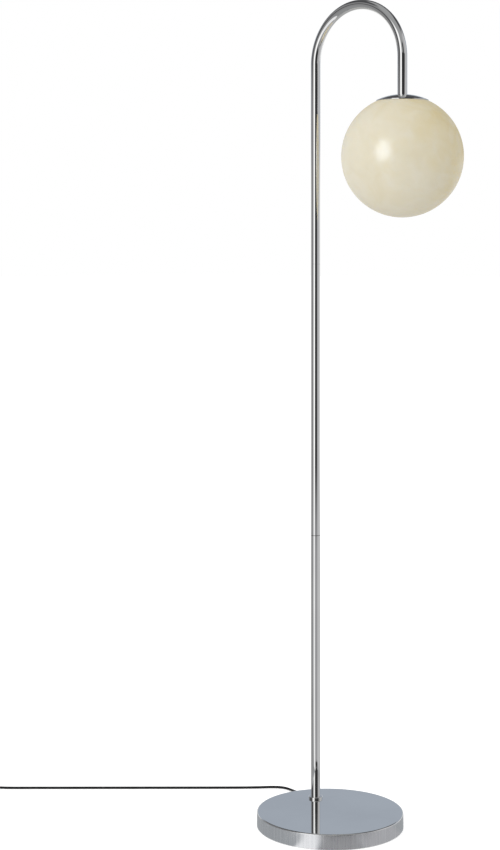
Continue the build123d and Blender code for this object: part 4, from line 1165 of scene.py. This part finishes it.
def floor_colours(bearing, distance):
    """The studio in the floor: beside the base, further out, and from 2 m on fading into the walls' foot."""
    close = window(distance, -1, 0.19, 0.08)
    away = 1 - close
    colour = painted(np.array((0.30, 0.305, 0.31)), close, (0.39, 0.405, 0.42))
    colour = painted(colour, window(np.abs(bearing), 125, 200, 15), (0.45, 0.45, 0.45))
    colour = painted(colour, window(bearing, 44, 70, 10) * away, (0.55, 0.55, 0.56))
    colour = painted(colour, window(bearing, 80, 120, 10) * away, (0.60, 0.60, 0.61))
    colour = painted(colour, window(bearing, 29, 70, 8) * close, (0.455, 0.455, 0.47))
    colour = painted(colour, window(bearing, -12 + 4 * close, 32 - 11 * close, 6), (0.352, 0.352, 0.362))
    colour = painted(colour, window(bearing, -54 + 26 * close, -20 + 4 * close, 6), (0.97, 0.97, 0.98))
    rim_shade = window(distance, 0.212, 0.24, 0.014) * window(bearing, -9, 48, 6)
    colour = painted(colour, rim_shade, (0.04, 0.04, 0.04))
    return painted(colour, window(distance, 5.2, 20, 3.2), card_colours(bearing, 0 * bearing))


print("cards on the grey dome:", len(SIDE_CARDS), "and the dark room and the panel")

# %% Dome and floor card
DOME_RADIUS = 9.0
BEARINGS = np.arange(-180, 180)
FLOOR_STEPS = [*np.linspace(0, 0.6, 61), *np.linspace(2, 6, 17), DOME_RADIUS]
CARD_LIFT = 0.6 * MM


def bearing_ways(bearing):
    """Level directions at bearings in degrees from the camera."""
    spread = np.radians(bearing)[..., None]
    return TOWARDS_CAMERA * np.cos(spread) + CAMERA_RIGHT * np.sin(spread)


def dome_of_cards():
    """Upper half of a sphere, by bearing and height."""
    bearing, height = np.meshgrid(BEARINGS, np.linspace(0, 90, 91))
    lift = np.radians(height)[..., None]
    points = DOME_RADIUS * (bearing_ways(bearing) * np.cos(lift) + UP * np.sin(lift))
    return points, card_colours(bearing, height)


def disc_on_floor():
    """Disc just above the floor, by bearing and distance from the lamp."""
    bearing, distance = np.meshgrid(BEARINGS, FLOOR_STEPS)
    points = bearing_ways(bearing) * distance[..., None] + UP * CARD_LIFT
    return points, floor_colours(bearing, distance)


def reflected_only(name, points, colours):
    """Sheet with painted points that only reflections see: it neither lights nor shades anything."""
    mesh = ring_mesh(name, [points])
    paint = mesh.attributes.new("paint", "FLOAT_COLOR", "POINT")
    opaque = np.ones((*colours.shape[:2], 1))
    paint.data.foreach_set("color", np.concatenate([colours, opaque], axis=-1).ravel().astype(np.float32))
    material = bpy.data.materials.new(name)
    material.use_nodes = True
    material.cycles.emission_sampling = "NONE"
    tree = material.node_tree
    tree.nodes.clear()
    read = shader_node(tree, "Attribute", {}, attribute_name="paint")
    glow = shader_node(tree, "Emission", {"Color": read.outputs["Color"]})
    shader_node(tree, "OutputMaterial", {"Surface": glow.outputs[0]})
    mesh.materials.append(material)
    sheet = added(name, mesh)
    sheet.visible_camera = sheet.visible_diffuse = sheet.visible_shadow = sheet.visible_transmission = False


reflected_only("cards", *dome_of_cards())
reflected_only("floor_card", *disc_on_floor())
print("cards painted")

# %% [markdown]
# ## Floor, background and light
#
# The background is white to the camera and in reflections, through the light path, at a strength of 1. The
# floor adds half of that to its own lit colour, so it is white as well but keeps a soft shadow. Light comes
# from the white room and from a large soft lamp on the left, above the camera. A second one beside it is seen
# only in the glass, as its highlight. Floor and cards glow, but they aren't lamps, so they are left out of
# the search for light sources.

# %% Floor and background
FLOOR_REACH = 60.0
FLOOR_OWN, FLOOR_GLOW = (0.86, 0.86, 0.86), 0.5
ROOM_LIGHT = 0.86
WHITE = (1, 1, 1)


def seen_share(tree, share):
    """A share for rays from the camera, in reflections and through glass, and none for other rays."""
    path = shader_node(tree, "LightPath", {}).outputs
    seen = path["Is Camera Ray"]
    for other in ("Is Glossy Ray", "Is Transmission Ray"):
        seen = shader_node(tree, "Math", {0: seen, 1: path[other]}, operation="MAXIMUM").outputs[0]
    return shader_node(tree, "Math", {0: seen, 1: share}, operation="MULTIPLY").outputs[0]


def make_floor():
    """Pale floor: its own lit colour, with white added where it is seen, so that only shadows show."""
    material = bpy.data.materials.new("pale_floor")
    material.use_nodes = True
    material.cycles.emission_sampling = "NONE"
    tree = material.node_tree
    looks = {"Base Color": FLOOR_OWN, "Roughness": 0.9, "Specular IOR Level": 0.0, "Emission Color": WHITE}
    fill(tree, tree.nodes["Principled BSDF"], {**looks, "Emission Strength": seen_share(tree, FLOOR_GLOW)})
    mesh = bpy.data.meshes.new("floor")
    corners = FLOOR_REACH * np.array([(-1, -1, 0), (1, -1, 0), (1, 1, 0), (-1, 1, 0)])
    mesh.from_pydata(corners.tolist(), [], [(0, 1, 2, 3)])
    mesh.materials.append(material)
    added("floor", mesh)


def make_background():
    """White room: strength 1 to the camera and in reflections, and a plain level of light for the rest."""
    world = bpy.data.worlds.new("white_room")
    world.use_nodes = True
    tree = world.node_tree
    level = ranged(tree, seen_share(tree, 1.0), (0, 1), (ROOM_LIGHT, 1.0))
    fill(tree, tree.nodes["Background"], {"Color": WHITE, "Strength": level})
    bpy.context.scene.world = world


make_floor()
make_background()
print("white room of strength", ROOM_LIGHT)


# %% Lamps
def soft_lamp(name, bearing, height, distance, size, power):
    """Oval area lamp at a bearing from the camera and a height in degrees, aimed at the globe."""
    lift = math.radians(height)
    way = bearing_ways(np.array(bearing)) * math.cos(lift) + UP * math.sin(lift)
    data = bpy.data.lights.new(name, "AREA")
    data.shape = "ELLIPSE"
    data.size, data.size_y = size
    data.energy = power
    lamp = added(name, data)
    lamp.location = GLOBE_MIDDLE + way * distance
    lamp.rotation_mode = "QUATERNION"
    lamp.rotation_quaternion = Vector(way).to_track_quat("Z", "Y")
    return lamp


key = soft_lamp("key", -44, 12, 3.2, (1.2, 1.8), 27)
key.visible_glossy = False
glint = soft_lamp("glint", -41, 8, 3.0, (1.5, 2.0), 80)
glint.data.color = (0.75, 0.86, 1.0)
glint.visible_diffuse = False
glass_only = bpy.data.collections.new("lit_by_glint")
glass_only.objects.link(globe)
glint.light_linking.receiver_collection = glass_only
bpy.context.scene.view_settings.view_transform = "Standard"
print("light set")
